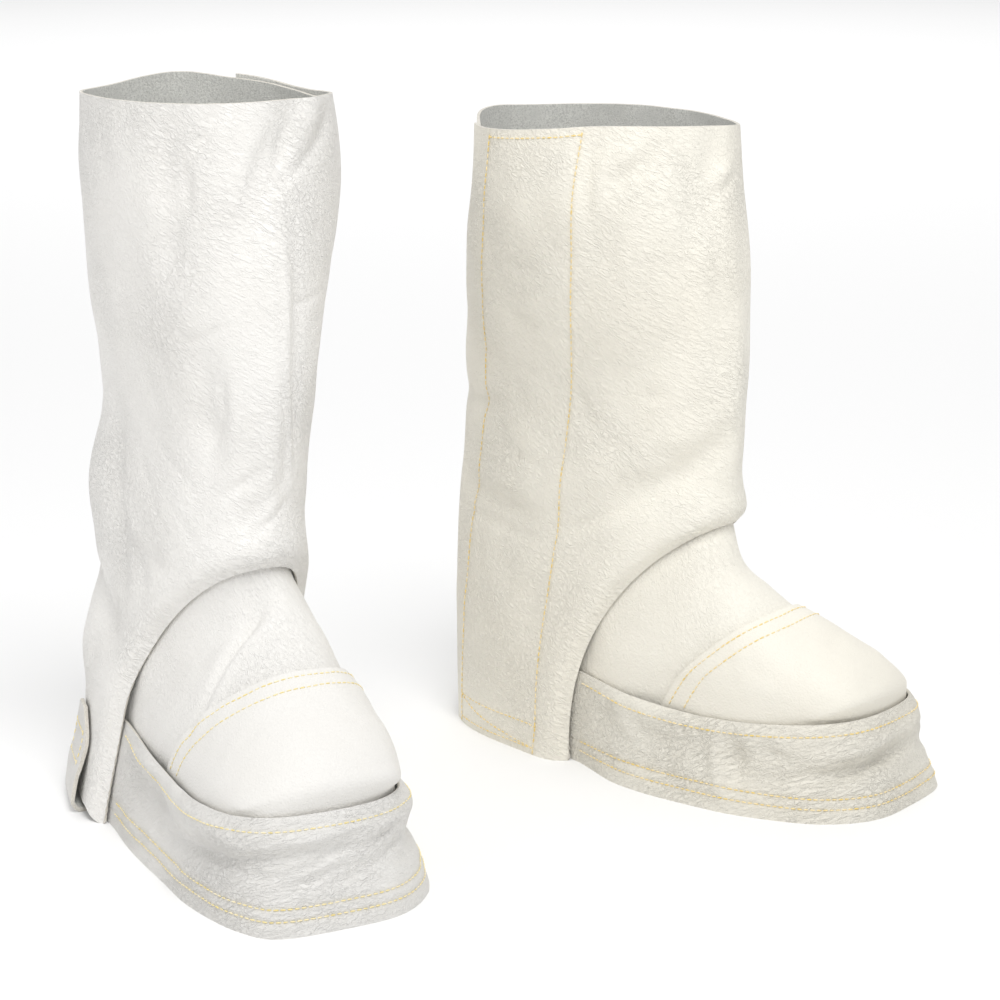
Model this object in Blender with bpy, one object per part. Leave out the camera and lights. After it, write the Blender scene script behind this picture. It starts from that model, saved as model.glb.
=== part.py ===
"""A pair of leather welding gaiters standing on their hems, in metres with +Z up.

Each gaiter is cut from five pieces of leather: a shaft that wraps the leg and laps over itself at
the outer rear, a vamp over the instep, a toe cap, a skirt round the front of the foot, and a strap
under the foot. Shapes are worked out in a gaiter's own frame: forward to the toe, outward to the
wearer's outer side, and up. The right and the left are mirrored cuts, each turned by its heading.
"""

import math

import bmesh
import bpy
import numpy as np

LEATHER = 0.0018
STRAP_THICKNESS = 0.0022
SEAM_GAP = 0.0006
LAP_GAP = 0.0005

# The shaft's cross-sections, half ovals to the front, the back, the outer and the inner side.
# height, middle outward, reach forward, reach back, reach outward, reach inward
SHAFT_SECTIONS = np.array((
    (0.000, 0.0100, 0.0880, 0.1030, 0.0520, 0.0715),
    (0.045, 0.0100, 0.0880, 0.1045, 0.0520, 0.0625),
    (0.075, 0.0100, 0.0890, 0.1055, 0.0500, 0.0590),
    (0.105, 0.0095, 0.0910, 0.1060, 0.0470, 0.0510),
    (0.140, 0.0095, 0.0935, 0.1050, 0.0457, 0.0457),
    (0.170, 0.0107, 0.0940, 0.1000, 0.0466, 0.0466),
    (0.205, 0.0135, 0.0970, 0.0950, 0.0448, 0.0448),
    (0.235, 0.0145, 0.0990, 0.0940, 0.0485, 0.0485),
    (0.270, 0.0159, 0.0984, 0.0891, 0.0567, 0.0567),
    (0.300, 0.0174, 0.0975, 0.0848, 0.0620, 0.0620),
    (0.340, 0.0186, 0.0918, 0.0760, 0.0668, 0.0668),
    (0.380, 0.0180, 0.0880, 0.0750, 0.0645, 0.0645),
))
SHAFT_HEIGHT = 0.376
HEEL_CLEARANCE = 0.006
SHAFT_GIRTH_RADIUS = 0.068

# The arch that the shaft is cut to over the instep.
ARCH_HALF_ANGLE = math.radians(82)
ARCH_HEIGHT = 0.148
ARCH_POWER = 2.3

# The folds that the shafts stand in. Tilt is from upright, and a lift below zero is a valley.
# angle, height, half length, half width, tilt, lift
RIGHT_FOLDS = (
    (math.radians(45), 0.176, 0.042, 0.010, math.radians(-58), -0.0045),
    (math.radians(40), 0.198, 0.040, 0.010, math.radians(-58), 0.0020),
    (math.radians(138), 0.207, 0.030, 0.007, math.radians(90), -0.0035),
    (math.radians(122), 0.150, 0.030, 0.008, math.radians(75), -0.0025),
    (math.radians(62), 0.350, 0.040, 0.008, math.radians(0), -0.0030),
    (math.radians(14), 0.345, 0.030, 0.009, math.radians(-15), -0.0035),
    (math.radians(6), 0.250, 0.100, 0.012, math.radians(0), 0.0030),
    (math.radians(-120), 0.150, 0.050, 0.012, math.radians(-60), -0.0040),
)
LEFT_FOLDS = (
    (math.radians(-46), 0.340, 0.038, 0.010, math.radians(8), -0.0045),
    (math.radians(0), 0.347, 0.036, 0.009, math.radians(28), -0.0045),
    (math.radians(-2), 0.225, 0.090, 0.010, math.radians(0), 0.0040),
    (math.radians(-38), 0.225, 0.034, 0.009, math.radians(0), -0.0035),
    (math.radians(-96), 0.168, 0.045, 0.008, math.radians(-10), -0.0055),
    (math.radians(-122), 0.168, 0.036, 0.024, math.radians(0), 0.0075),
    (math.radians(-110), 0.110, 0.034, 0.010, math.radians(-65), -0.0065),
    (math.radians(-128), 0.078, 0.030, 0.030, math.radians(0), 0.0030),
    (math.radians(-12), 0.172, 0.022, 0.008, math.radians(50), -0.0035),
    (math.radians(110), 0.190, 0.050, 0.012, math.radians(60), -0.0040),
)
FOLD_FADE = (0.010, 0.034)
FOLD_FLOOR = (0.055, 0.085)

# The rises and dips of the shafts' upper edges.
# angle, half width, lift
RIGHT_RIM = (
    (math.radians(52), math.radians(35), 0.0035),
    (math.radians(138), math.radians(30), -0.0055),
    (math.radians(-128), math.radians(50), 0.0025),
    (math.radians(-38), math.radians(30), -0.0020),
)
LEFT_RIM = ((math.radians(150), math.radians(25), -0.0010),)

RIGHT_COLOUR = (0.86, 0.84, 0.78)
LEFT_COLOUR = (0.84, 0.84, 0.82)

# name, sign of the outward side, heading, place across, place in depth, stand, folds, rim, colour
GAITERS = (
    ("right", -1.0, math.radians(38), 0.0660, 0.1205, 1.00, RIGHT_FOLDS, RIGHT_RIM, RIGHT_COLOUR),
    ("left", 1.0, math.radians(62), -0.1763, 0.0002, 1.07, LEFT_FOLDS, LEFT_RIM, LEFT_COLOUR),
)

# The two upright edges of the shaft's leather, at the ground and at the rim. One lies under the
# other along the outer rear.
UNDER_EDGE = (math.radians(92), math.radians(64))
FREE_EDGE = (math.radians(152), math.radians(138))
LAP_RELEASE = math.radians(30)
UNDER_EDGE_DROP = 0.002

# The roll along the arch, where the shaft is turned in to its seam.
# distance from the edge, lift
ROLL = np.array((
    (0.000, -0.0030),
    (0.002, -0.0010),
    (0.005, 0.0016),
    (0.009, 0.0030),
    (0.014, 0.0028),
    (0.021, 0.0014),
    (0.032, 0.0000),
    (0.043, 0.0000),
    (0.054, 0.0000),
))
ROLL_ROWS = (0.0, 0.0025, 0.006, 0.010, 0.015, 0.022, 0.032)
SHAFT_ROWS = 15
HEEL_COLUMNS = 18
CORNER_COLUMNS = 4
SIDE_COLUMNS = 4
LAP_COLUMNS = 6
CORNER_ARC = math.radians(10)
HEEL_RAMP = math.radians(12)
HEEL_LIFT_FROM = math.radians(150)
LAP_MARGIN = math.radians(3)
LEAN_REACH = 0.12
LEAN_ARC = math.radians(75)

# The seam between the upper and the skirt, from the toe round to a rear corner.
# station, forward, half width outward, half width inward, height
SEAM_RAIL = np.array((
    (0.00, 0.1955, 0.0000, 0.0000, 0.0550),
    (0.10, 0.1905, 0.0280, 0.0300, 0.0545),
    (0.20, 0.1740, 0.0465, 0.0455, 0.0530),
    (0.32, 0.1440, 0.0560, 0.0505, 0.0500),
    (0.50, 0.1020, 0.0580, 0.0480, 0.0470),
    (0.70, 0.0580, 0.0580, 0.0455, 0.0490),
))
# The skirt's lower edge, on the ground.
# station, forward, half width outward, half width inward, height
HEM_RAIL = np.array((
    (0.00, 0.2100, 0.0000, 0.0000, 0.0000),
    (0.10, 0.2065, 0.0320, 0.0370, 0.0000),
    (0.20, 0.1875, 0.0560, 0.0515, 0.0000),
    (0.32, 0.1510, 0.0715, 0.0600, 0.0000),
    (0.50, 0.1040, 0.0770, 0.0605, 0.0000),
    (0.70, 0.0580, 0.0740, 0.0595, 0.0000),
))
# Where both rails pass behind the shaft's edge, and where they end.
# station, angle on the shaft
RAIL_TUCKS = ((0.90, math.radians(81)), (1.00, math.radians(91)))
SKIRT_TOP_REAR = 0.056

# The skirt's fall from its seam to its hem.
# share of the fall, share of the way out to the hem, lift
SKIRT_FALL = np.array((
    (0.00, 0.00, 0.0000),
    (0.05, 0.02, 0.0016),
    (0.12, 0.06, 0.0026),
    (0.22, 0.14, 0.0022),
    (0.36, 0.28, 0.0008),
    (0.52, 0.46, 0.0000),
    (0.68, 0.65, 0.0000),
    (0.84, 0.83, 0.0000),
    (1.00, 1.00, 0.0000),
))

# The upper of the foot from the arch to the toe. Roundness is that of the section's height.
# ridge forward, ridge height, seam station, roundness outward, roundness inward, share of the arch
UPPER_SECTIONS = np.array((
    (0.1010, 0.1275, 0.825, 2.7, 2.9, 0.85),
    (0.1160, 0.1160, 0.720, 2.8, 2.7, 0.46),
    (0.1320, 0.1060, 0.615, 2.9, 2.4, 0.14),
    (0.1460, 0.0995, 0.530, 3.0, 2.3, 0.00),
    (0.1590, 0.0930, 0.450, 3.0, 2.3, 0.00),
    (0.1715, 0.0868, 0.375, 2.9, 2.3, 0.00),
    (0.1825, 0.0805, 0.310, 2.7, 2.3, 0.00),
    (0.1910, 0.0735, 0.255, 2.4, 2.2, 0.00),
    (0.1955, 0.0665, 0.215, 2.1, 2.1, 0.00),
))
LIP_STATION = 0.195
TIP_STATION = 0.185
SKIRT_TUCK_STATIONS = (1.00, 0.96, 0.92, 0.875)
UPPER_POWER = 2.3
RIDGE_SKEW = 0.008
UPPER_COLUMNS = 16
UPPER_TUCK = 0.008
UPPER_TUCK_TURN = math.radians(6)
RIDGE_SLANT = (0.5, 0.85)
SEAM_TUCK = 0.005
LIP_RISE = 0.0006
SKIRT_CLEAR = 0.035
VAMP_DEPTH = 0.0048
VAMP_FOOT_DEPTH = 0.0086
SKIRT_DEPTH = 0.0057
CAP_ROW = 4
CAP_LAP_ROWS = 1

# The strap under the foot. It is sewn inside the outer wall and turns up outside the inner wall.
STRAP_FRONT = -0.012
STRAP_BACK = -0.058
STRAP_COLUMNS = 4
STRAP_SEWN_TOP = 0.040
STRAP_SEWN_EASE = 0.0008
STRAP_SEWN_DEPTH = 2 * (LEATHER + LAP_GAP) + STRAP_SEWN_EASE
STRAP_GAP = 0.0014
STRAP_TURN = 0.007
STRAP_LOOP = 0.003
STRAP_RISE = (0.017, 0.026, 0.038, 0.052)
STRAP_STAND_OFF = (0.0026, 0.0010, 0.0, 0.0)
STRAP_TIP_WIDTH = 0.014


def smooth_step(value):
    """A soft ramp from 0 to 1."""
    t = np.clip(value, 0.0, 1.0)
    return t * t * (3.0 - 2.0 * t)


def along_table(table, at):
    """The later columns of a table at other values of its first, on smooth curves."""
    keys = table[:, 0]
    values = table[:, 1:]
    slopes = np.gradient(values, keys, axis=0)
    at = np.clip(np.asarray(at, float), keys[0], keys[-1])
    i = np.clip(np.searchsorted(keys, at, side="right") - 1, 0, len(keys) - 2)
    step = (keys[i + 1] - keys[i])[..., None]
    t = (at - keys[i])[..., None] / step
    start = (1 + 2 * t) * (1 - t) ** 2 * values[i] + t * (1 - t) ** 2 * step * slopes[i]
    end = t * t * (3 - 2 * t) * values[i + 1] - t * t * (1 - t) * step * slopes[i + 1]
    return start + end


def shaft_surface(angle, height):
    """Points of the plain shaft at angles from the toe, turning outward, and heights."""
    angle, height = np.broadcast_arrays(np.asarray(angle, float), np.asarray(height, float))
    section = along_table(SHAFT_SECTIONS, height)
    middle, ahead, behind, outward, inward = np.moveaxis(section, -1, 0)
    forward = np.where(np.cos(angle) > 0, ahead, behind) * np.cos(angle)
    sideways = middle + np.where(np.sin(angle) > 0, outward, inward) * np.sin(angle)
    return np.stack((forward, sideways, height), axis=-1)


def shaft_skin(angle, height, lift):
    """Points off the shaft's surface, lifted along its normal."""
    step = 1e-4
    turn = shaft_surface(angle + step, height) - shaft_surface(angle - step, height)
    rise = shaft_surface(angle, height + step) - shaft_surface(angle, height - step)
    normal = np.cross(turn, rise)
    normal /= np.linalg.norm(normal, axis=-1, keepdims=True)
    return shaft_surface(angle, height) + normal * np.asarray(lift)[..., None]


def arch_curve(turn):
    """Angle and height on the arch, turn running from 0 at one foot to pi at the other."""
    across = np.cos(turn)
    power = 2.0 / ARCH_POWER
    angle = ARCH_HALF_ANGLE * np.sign(across) * np.abs(across) ** power
    return angle, ARCH_HEIGHT * np.abs(np.sin(turn)) ** power


def even_turns(first, last, count):
    """Turns on the arch between two others, evenly spaced along it."""
    turns = np.linspace(first, last, 200)
    angle, height = arch_curve(turns)
    steps = np.hypot(np.diff(angle) * SHAFT_GIRTH_RADIUS, np.diff(height))
    length = np.concatenate(((0.0,), np.cumsum(steps)))
    return np.interp(np.linspace(0, length[-1], count + 1), length, turns)


def arch_turn_at(height):
    """The turn at which the arch passes a height on its outward side."""
    return math.asin((height / ARCH_HEIGHT) ** (ARCH_POWER / 2.0))


def upper_turns():
    """The turns on the arch where the upper's columns start."""
    low = arch_turn_at(SKIRT_TOP_REAR - SEAM_TUCK)
    return even_turns(low, math.pi - low, UPPER_COLUMNS)


def distance_to_arch(angle, height):
    """How far points of the shaft are from its arch, over the leather."""
    arch_angle, arch_height = arch_curve(np.linspace(0, math.pi, 400))
    turned = (angle + math.pi) % (2 * math.pi) - math.pi
    across = (turned[..., None] - arch_angle) * SHAFT_GIRTH_RADIUS
    return np.hypot(across, height[..., None] - arch_height).min(axis=-1)


def shaft_face(angle, height, lift):
    """Points off the shaft's worked face, with the roll along its arch."""
    roll = along_table(ROLL, distance_to_arch(angle, height))[..., 0]
    return shaft_skin(angle, height, roll + lift)


def shaft_edge():
    """Angle and height down the shaft's lower edge, from the under edge to the free edge."""
    full = 2 * math.pi
    corner = ARCH_HALF_ANGLE
    heel = np.linspace(UNDER_EDGE[0], full - corner - CORNER_ARC, HEEL_COLUMNS + 1)
    inner_corner = np.linspace(heel[-1], full - corner, CORNER_COLUMNS + 1)
    outer_corner = np.linspace(full + corner, full + corner + CORNER_ARC, CORNER_COLUMNS + 1)
    lap = np.linspace(outer_corner[-1], full + FREE_EDGE[0], LAP_COLUMNS + 1)
    upper = upper_turns()
    side = even_turns(0.0, upper[0], SIDE_COLUMNS)
    turns = np.concatenate((side, upper[1:-1], math.pi - side[::-1]))[::-1]
    arch_angle, arch_height = arch_curve(turns)
    before = np.concatenate((heel, inner_corner[1:-1]))
    after = np.concatenate((outer_corner[1:], lap[1:]))
    angle = np.concatenate((before, full + arch_angle, after))
    height = np.concatenate((np.zeros(len(before)), arch_height, np.zeros(len(after))))
    turned = (angle + math.pi) % full - math.pi
    inner = smooth_step((-turned - corner) / HEEL_RAMP) * (turned < -corner)
    outer = smooth_step((turned - HEEL_LIFT_FROM) / (math.pi - HEEL_LIFT_FROM))
    lifted = inner + outer
    return angle, height + HEEL_CLEARANCE * lifted


def rim_height(rim, angle):
    """The shaft's wavy upper edge."""
    height = SHAFT_HEIGHT + 0.0022 * np.cos(2 * angle + 0.6) + 0.0012 * np.sin(3 * angle)
    for at_angle, half_width, lift in rim:
        turned = (angle - at_angle + math.pi) % (2 * math.pi) - math.pi
        height = height + lift * np.exp(-((turned / half_width) ** 2))
    return height


def fold_lift(folds, angle, height):
    """How far folds push the shaft's face out, fading to none near the arch and the ground."""
    lift = np.zeros(angle.shape)
    for at_angle, at_height, half_length, half_width, tilt, depth in folds:
        turned = (angle - at_angle + math.pi) % (2 * math.pi) - math.pi
        across = turned * SHAFT_GIRTH_RADIUS
        rise = height - at_height
        along = (across * math.sin(tilt) + rise * math.cos(tilt)) / half_length
        beside = (across * math.cos(tilt) - rise * math.sin(tilt)) / half_width
        lift += depth * np.exp(-along * along - beside * beside)
    for value, (start, full) in ((distance_to_arch(angle, height), FOLD_FADE), (height, FOLD_FLOOR)):
        lift = lift * smooth_step((value - start) / (full - start))
    return lift


def column_lean(turned, height):
    """How far the shaft's columns lean away from the arch as they rise from its lower edge."""
    beyond = 1 - smooth_step((np.abs(turned) - ARCH_HALF_ANGLE) / LEAN_ARC)
    return np.sign(turned) * beyond * (1 - (height / ARCH_HEIGHT) ** 2)


def shaft_grid(folds, rim):
    """The shaft's outer face, columns from the under edge round to the free edge."""
    angle, height = shaft_edge()
    full = 2 * math.pi
    share = np.linspace(0, 1, len(angle))
    even = UNDER_EDGE[1] + share * (full + FREE_EDGE[1] - UNDER_EDGE[1])
    over = (angle - UNDER_EDGE[0]) / (full + FREE_EDGE[0] - UNDER_EDGE[0])
    straight = UNDER_EDGE[1] + over * (full + FREE_EDGE[1] - UNDER_EDGE[1])
    rim_angle = (even + straight) / 2
    under = 1 - smooth_step((rim_angle - FREE_EDGE[1]) / LAP_RELEASE)
    length = rim_height(rim, rim_angle) - UNDER_EDGE_DROP * under - height
    near = np.array(ROLL_ROWS)
    rest = np.linspace(0, 1, SHAFT_ROWS + 1)[1:]
    down = np.concatenate((
        np.repeat(near[:, None], len(angle), axis=1),
        near[-1] + rest[:, None] * (length - near[-1]),
    ))
    part = down / length
    lean = column_lean(angle - full, height) * down * np.exp(-down / LEAN_REACH)
    grid_angle = angle + (rim_angle - angle) * part + lean / SHAFT_GIRTH_RADIUS
    grid_height = height + down
    free_angle = FREE_EDGE[0] + (FREE_EDGE[1] - FREE_EDGE[0]) * part
    lapped = 1 - smooth_step((grid_angle - free_angle - LAP_MARGIN) / LAP_RELEASE)
    lift = fold_lift(folds, grid_angle, grid_height) - lapped * (LEATHER + LAP_GAP)
    return shaft_face(grid_angle, grid_height, lift)


def rail_points(rail, tuck_height, depth, station):
    """Points along a rail, at stations from -1 inward to 1 outward."""
    rows = []
    for at, forward, outward, inward, height in rail:
        rows.append((at, forward, outward, height))
        if at > 0:
            rows.append((-at, forward, -inward, height))
    for at, angle in RAIL_TUCKS:
        for side in (-1.0, 1.0):
            point = shaft_skin(np.array(side * angle), np.array(tuck_height), -depth)
            rows.append((side * at, *point))
    return along_table(np.array(sorted(rows)), station)


def outward_of(points):
    """Level normals of a line of points that runs round the toe from inward to outward."""
    run = np.gradient(points[:, :2], axis=0)
    normal = np.stack((run[:, 1], -run[:, 0], np.zeros(len(run))), axis=-1)
    return normal / np.linalg.norm(normal, axis=-1, keepdims=True)


def seam_line(station):
    """The skirt's upper edge on its outer face."""
    return rail_points(SEAM_RAIL, SKIRT_TOP_REAR, SKIRT_DEPTH, station)


def hem_line(station):
    """The skirt's lower edge on its outer face."""
    return rail_points(HEM_RAIL, 0.0, SKIRT_DEPTH, station)


def tip_stations():
    """The seam's stations along the upper's last row."""
    return -TIP_STATION * np.cos(np.linspace(0, math.pi, UPPER_COLUMNS + 1))


def skirt_stations():
    """The seam's stations, shared by the skirt's columns and the upper's rows."""
    half = np.concatenate((SKIRT_TUCK_STATIONS, UPPER_SECTIONS[:, 2], (LIP_STATION,)))
    return np.concatenate((-half, tip_stations(), half[::-1]))


def skirt_grid():
    """The skirt's outer face, rows from the hem to the seam."""
    station = skirt_stations()
    top = seam_line(station)
    hem = hem_line(station)
    normal = outward_of(top)
    loose = 1 - smooth_step((np.abs(station) - 0.72) / 0.18)
    rows = []
    for share, way, lift in SKIRT_FALL:
        plain = top + (hem - top) * share
        shaped = top + (hem - top) * way
        row = plain + (shaped - plain) * loose[:, None]
        row[:, 2] = plain[:, 2]
        rows.append(row + normal * (lift * loose)[:, None])
    return np.array(rows[::-1])


def behind_seam(station, drop, rise):
    """Points behind the skirt's upper edge, on the upper's face or drop deeper."""
    station = np.asarray(station, float)
    lines = seam_line(station + np.array((-1e-3, 0.0, 1e-3))[:, None])
    run = lines[2] - lines[0]
    normal = np.stack((run[:, 1], -run[:, 0], np.zeros(len(run))), axis=-1)
    normal /= np.linalg.norm(normal, axis=-1, keepdims=True)
    point = lines[1] - normal * (LEATHER + SEAM_GAP + drop)
    point[:, 2] += rise
    return point


def between_ends(ends, across):
    """Points on the line between the two ends of a row."""
    return ends[0] + (ends[1] - ends[0]) * ((across + 1) / 2)[:, None]


def arch_rows(drop):
    """The upper's two rows that follow the arch, behind the shaft."""
    angle, height = arch_curve(upper_turns()[::-1])
    below = 1 - smooth_step((height - SKIRT_TOP_REAR) / SKIRT_CLEAR)
    depth = VAMP_DEPTH + below * (VAMP_FOOT_DEPTH - VAMP_DEPTH) + drop
    arch = shaft_skin(angle, height, -depth)
    tucked_height = height + UPPER_TUCK * (1 - below)
    tucked_angle = angle + np.sign(angle) * UPPER_TUCK_TURN * (angle / ARCH_HALF_ANGLE) ** 2
    return shaft_skin(tucked_angle, tucked_height, -depth), arch


def upper_grid(drop):
    """The upper's face from under the arch to the toe, drop deeper than its own outer face."""
    tucked, arch = arch_rows(drop)
    inner = arch[1:-1]
    middle = len(inner) // 2
    arch_across = 2 * (inner[:, 1] - inner[0, 1]) / (inner[-1, 1] - inner[0, 1]) - 1
    above = inner - between_ends(inner[[0, -1]], arch_across)
    arch_ahead = above[:, 0] / above[middle, 0]
    arch_up = above[:, 2] / above[middle, 2]
    rows = [tucked, arch]
    swing = np.linspace(math.pi, 0, UPPER_COLUMNS - 1)
    round_across = np.sign(np.cos(swing)) * np.abs(np.cos(swing)) ** (2 / UPPER_POWER)
    for ridge_f, ridge_z, station, outward, inward, arch_share in UPPER_SECTIONS:
        round_up = np.sin(swing) ** (2 / np.where(swing > math.pi / 2, inward, outward))
        across = round_across + (arch_across - round_across) * arch_share
        ahead = np.sin(swing) + (arch_ahead - np.sin(swing)) * arch_share
        up = round_up + (arch_up - round_up) * arch_share
        ends = behind_seam((-station, station), drop, LIP_RISE)
        row = between_ends(ends, across)
        row[:, 0] += (ridge_f - drop * RIDGE_SLANT[0] - ends[:, 0].mean()) * ahead
        row[:, 1] += RIDGE_SKEW * np.sin(swing) ** 2
        row[:, 2] += (ridge_z - drop * RIDGE_SLANT[1] - ends[:, 2].mean()) * up
        tucks = behind_seam((-station, station), drop, -SEAM_TUCK)
        rows.append(np.concatenate((tucks[:1], row, tucks[1:])))
    lip = behind_seam(tip_stations()[1:-1], drop, LIP_RISE)
    tucks = behind_seam((-LIP_STATION, LIP_STATION), drop, -SEAM_TUCK)
    rows.append(np.concatenate((tucks[:1], lip, tucks[1:])))
    rows.append(behind_seam(tip_stations(), drop, -SEAM_TUCK))
    return np.array(rows)


def vamp_grid():
    """The vamp's face, columns inward, dipping under the toe cap at its front."""
    outer = upper_grid(0.0)
    lower = upper_grid(LEATHER + LAP_GAP)
    last = CAP_ROW + CAP_LAP_ROWS
    rows = outer[: last + 1].copy()
    rows[CAP_ROW:] = lower[CAP_ROW : last + 1]
    rows[CAP_ROW - 1] = outer[CAP_ROW - 1] * 0.75 + lower[CAP_ROW - 1] * 0.25
    return rows[:, ::-1]


def cap_grid():
    """The toe cap's face, columns inward."""
    return upper_grid(0.0)[CAP_ROW:, ::-1]


def wall_angle(forward, height, side):
    """The angle at which the shaft passes a place behind its middle, on one side."""
    behind = along_table(SHAFT_SECTIONS, height)[..., 2]
    return side * (math.pi / 2 + np.arcsin(-forward / behind))


def strap_line(forward):
    """One lengthwise line of the strap's outer face, from its sewn end to its tip."""
    sewn = np.linspace(STRAP_SEWN_TOP, STRAP_TURN + 0.003, 4)
    inside = shaft_face(wall_angle(forward, sewn, 1), sewn, -STRAP_SEWN_DEPTH)
    start = inside[-1]
    turn = np.linspace(0, math.pi / 2, 5)[1:]
    corner = np.stack((
        np.full(4, start[0]) + (forward - start[0]) * np.sin(turn),
        start[1] - STRAP_TURN * (1 - np.cos(turn)),
        STRAP_TURN * (1 - np.sin(turn)),
    ), axis=-1)
    rise = np.array(STRAP_RISE)
    lift = np.array(STRAP_STAND_OFF) + STRAP_GAP + STRAP_THICKNESS
    outside = shaft_face(wall_angle(forward, rise, -1), rise, lift)
    far = outside[0, 1] - STRAP_LOOP
    floor_side = np.linspace(corner[-1, 1], far + STRAP_TURN, 6)[1:-1]
    floor = np.stack((np.full(4, forward), floor_side, np.zeros(4)), axis=-1)
    back = np.linspace(math.pi / 2, 0, 5)
    bend = np.stack((
        np.full(5, forward),
        far + STRAP_TURN * (1 - np.cos(back)),
        STRAP_TURN * (1 - np.sin(back)),
    ), axis=-1)
    return np.concatenate((inside, corner, floor, bend, outside))


def strap_grid():
    """The strap's outer face, rows from its sewn end to its pointed tip."""
    middle = (STRAP_FRONT + STRAP_BACK) / 2
    shares = np.linspace(-1, 1, STRAP_COLUMNS + 1)
    lines = [strap_line(middle + share * (STRAP_FRONT - middle)) for share in shares]
    for share, line in zip(shares, lines):
        forward = middle + share * STRAP_TIP_WIDTH / 2
        top = np.array(STRAP_RISE[-1])
        line[-1] = shaft_face(wall_angle(forward, top, -1), top, STRAP_GAP + STRAP_THICKNESS)
    return np.array(lines).transpose(1, 0, 2)


def inner_face(grid, thickness):
    """The flesh side of a panel, one thickness behind the grid of its outer face."""
    along = np.gradient(grid, axis=0)
    across = np.gradient(grid, axis=1)
    normal = np.cross(along, across)
    normal /= np.linalg.norm(normal, axis=-1, keepdims=True)
    return grid + normal * thickness


def world_points(points, sign, heading, place_x, place_y, stand):
    """A gaiter's own points, stood up, turned to its heading and set at its place."""
    ahead = np.array((math.cos(heading), -math.sin(heading), 0.0))
    outward = np.array((math.sin(heading), math.cos(heading), 0.0)) * sign
    up = np.array((0.0, 0.0, stand))
    turned = points @ np.array((ahead, outward, up))
    return turned + np.array((place_x, place_y, 0.0))


def leather_material(name, colour):
    """Smooth grain leather."""
    material = bpy.data.materials.new(name)
    material.use_nodes = True
    shader = material.node_tree.nodes["Principled BSDF"]
    shader.inputs["Base Color"].default_value = (*colour, 1.0)
    shader.inputs["Roughness"].default_value = 0.6
    material.diffuse_color = (*colour, 1.0)
    return material


def sheet_object(name, grid, thickness, placing, colour):
    """A closed leather panel from the grid of its outer face."""
    faces = [grid, inner_face(grid, thickness)]
    for face in faces:
        face[..., 2] = np.maximum(face[..., 2], 0.0)
    rows, columns = grid.shape[:2]
    mesh = bmesh.new()
    layers = []
    for face in faces:
        points = world_points(face.reshape(-1, 3), *placing)
        verts = [mesh.verts.new(point) for point in points]
        layers.append([verts[row * columns : (row + 1) * columns] for row in range(rows)])
    outer_verts, inner_verts = layers
    for row in range(rows - 1):
        for column in range(columns - 1):
            for layer in layers:
                mesh.faces.new((
                    layer[row][column],
                    layer[row][column + 1],
                    layer[row + 1][column + 1],
                    layer[row + 1][column],
                ))
    ring = [(0, column) for column in range(columns)]
    ring += [(row, columns - 1) for row in range(1, rows)]
    ring += [(rows - 1, column) for column in range(columns - 2, -1, -1)]
    ring += [(row, 0) for row in range(rows - 2, 0, -1)]
    for (row, column), (next_row, next_column) in zip(ring, ring[1:] + ring[:1]):
        mesh.faces.new((
            outer_verts[row][column],
            outer_verts[next_row][next_column],
            inner_verts[next_row][next_column],
            inner_verts[row][column],
        ))
    bmesh.ops.recalc_face_normals(mesh, faces=mesh.faces)
    data = bpy.data.meshes.new(name)
    mesh.to_mesh(data)
    mesh.free()
    data.materials.append(leather_material(name + "_leather", colour))
    panel = bpy.data.objects.new(name, data)
    bpy.context.scene.collection.objects.link(panel)
    return panel


def build_gaiter(name, sign, heading, place_x, place_y, stand, folds, rim, colour):
    """The five panels of one gaiter."""
    placing = (sign, heading, place_x, place_y, stand)
    sheet_object(f"{name}_shaft", shaft_grid(folds, rim), LEATHER, placing, colour)
    sheet_object(f"{name}_vamp", vamp_grid(), LEATHER, placing, colour)
    sheet_object(f"{name}_toe_cap", cap_grid(), LEATHER, placing, colour)
    sheet_object(f"{name}_skirt", skirt_grid(), LEATHER, placing, colour)
    sheet_object(f"{name}_strap", strap_grid(), STRAP_THICKNESS, placing, colour)


def main():
    """Clears the scene and builds both gaiters."""
    for startup in list(bpy.data.objects):
        bpy.data.objects.remove(startup)
    for row in GAITERS:
        build_gaiter(*row)


main()
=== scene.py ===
"""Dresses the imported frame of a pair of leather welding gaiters.

Every panel of the frame gets a finer body on the same cut: grain leather outside, suede inside,
soft folds, and the rows of thread that hold the panels together. Shapes are worked out in a
gaiter's own frame, forward to the toe, outward to the wearer's outer side and up, and are then
turned to the gaiter's heading.
"""

import logging
import math
from dataclasses import dataclass, field
from enum import Enum
from typing import Callable

import bpy
import numpy as np
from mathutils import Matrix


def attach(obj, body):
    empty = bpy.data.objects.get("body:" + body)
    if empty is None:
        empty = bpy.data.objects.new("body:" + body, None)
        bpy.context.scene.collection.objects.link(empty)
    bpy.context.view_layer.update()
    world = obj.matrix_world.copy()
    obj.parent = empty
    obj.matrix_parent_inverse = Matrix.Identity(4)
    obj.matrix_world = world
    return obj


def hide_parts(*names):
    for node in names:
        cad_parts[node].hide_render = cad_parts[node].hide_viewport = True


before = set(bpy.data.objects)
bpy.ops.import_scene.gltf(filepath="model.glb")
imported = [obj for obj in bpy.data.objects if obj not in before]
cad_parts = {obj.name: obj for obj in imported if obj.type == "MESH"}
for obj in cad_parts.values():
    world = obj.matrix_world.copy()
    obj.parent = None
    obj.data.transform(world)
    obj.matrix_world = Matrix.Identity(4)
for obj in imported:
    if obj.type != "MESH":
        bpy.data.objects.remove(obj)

LOG = logging.getLogger("gaiters")
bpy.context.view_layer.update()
Array = np.ndarray
FULL = 2 * math.pi

LEATHER = 0.0018
STRAP_THICKNESS = 0.0022
SEAM_GAP = 0.0006
LAP_GAP = 0.0005

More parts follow.
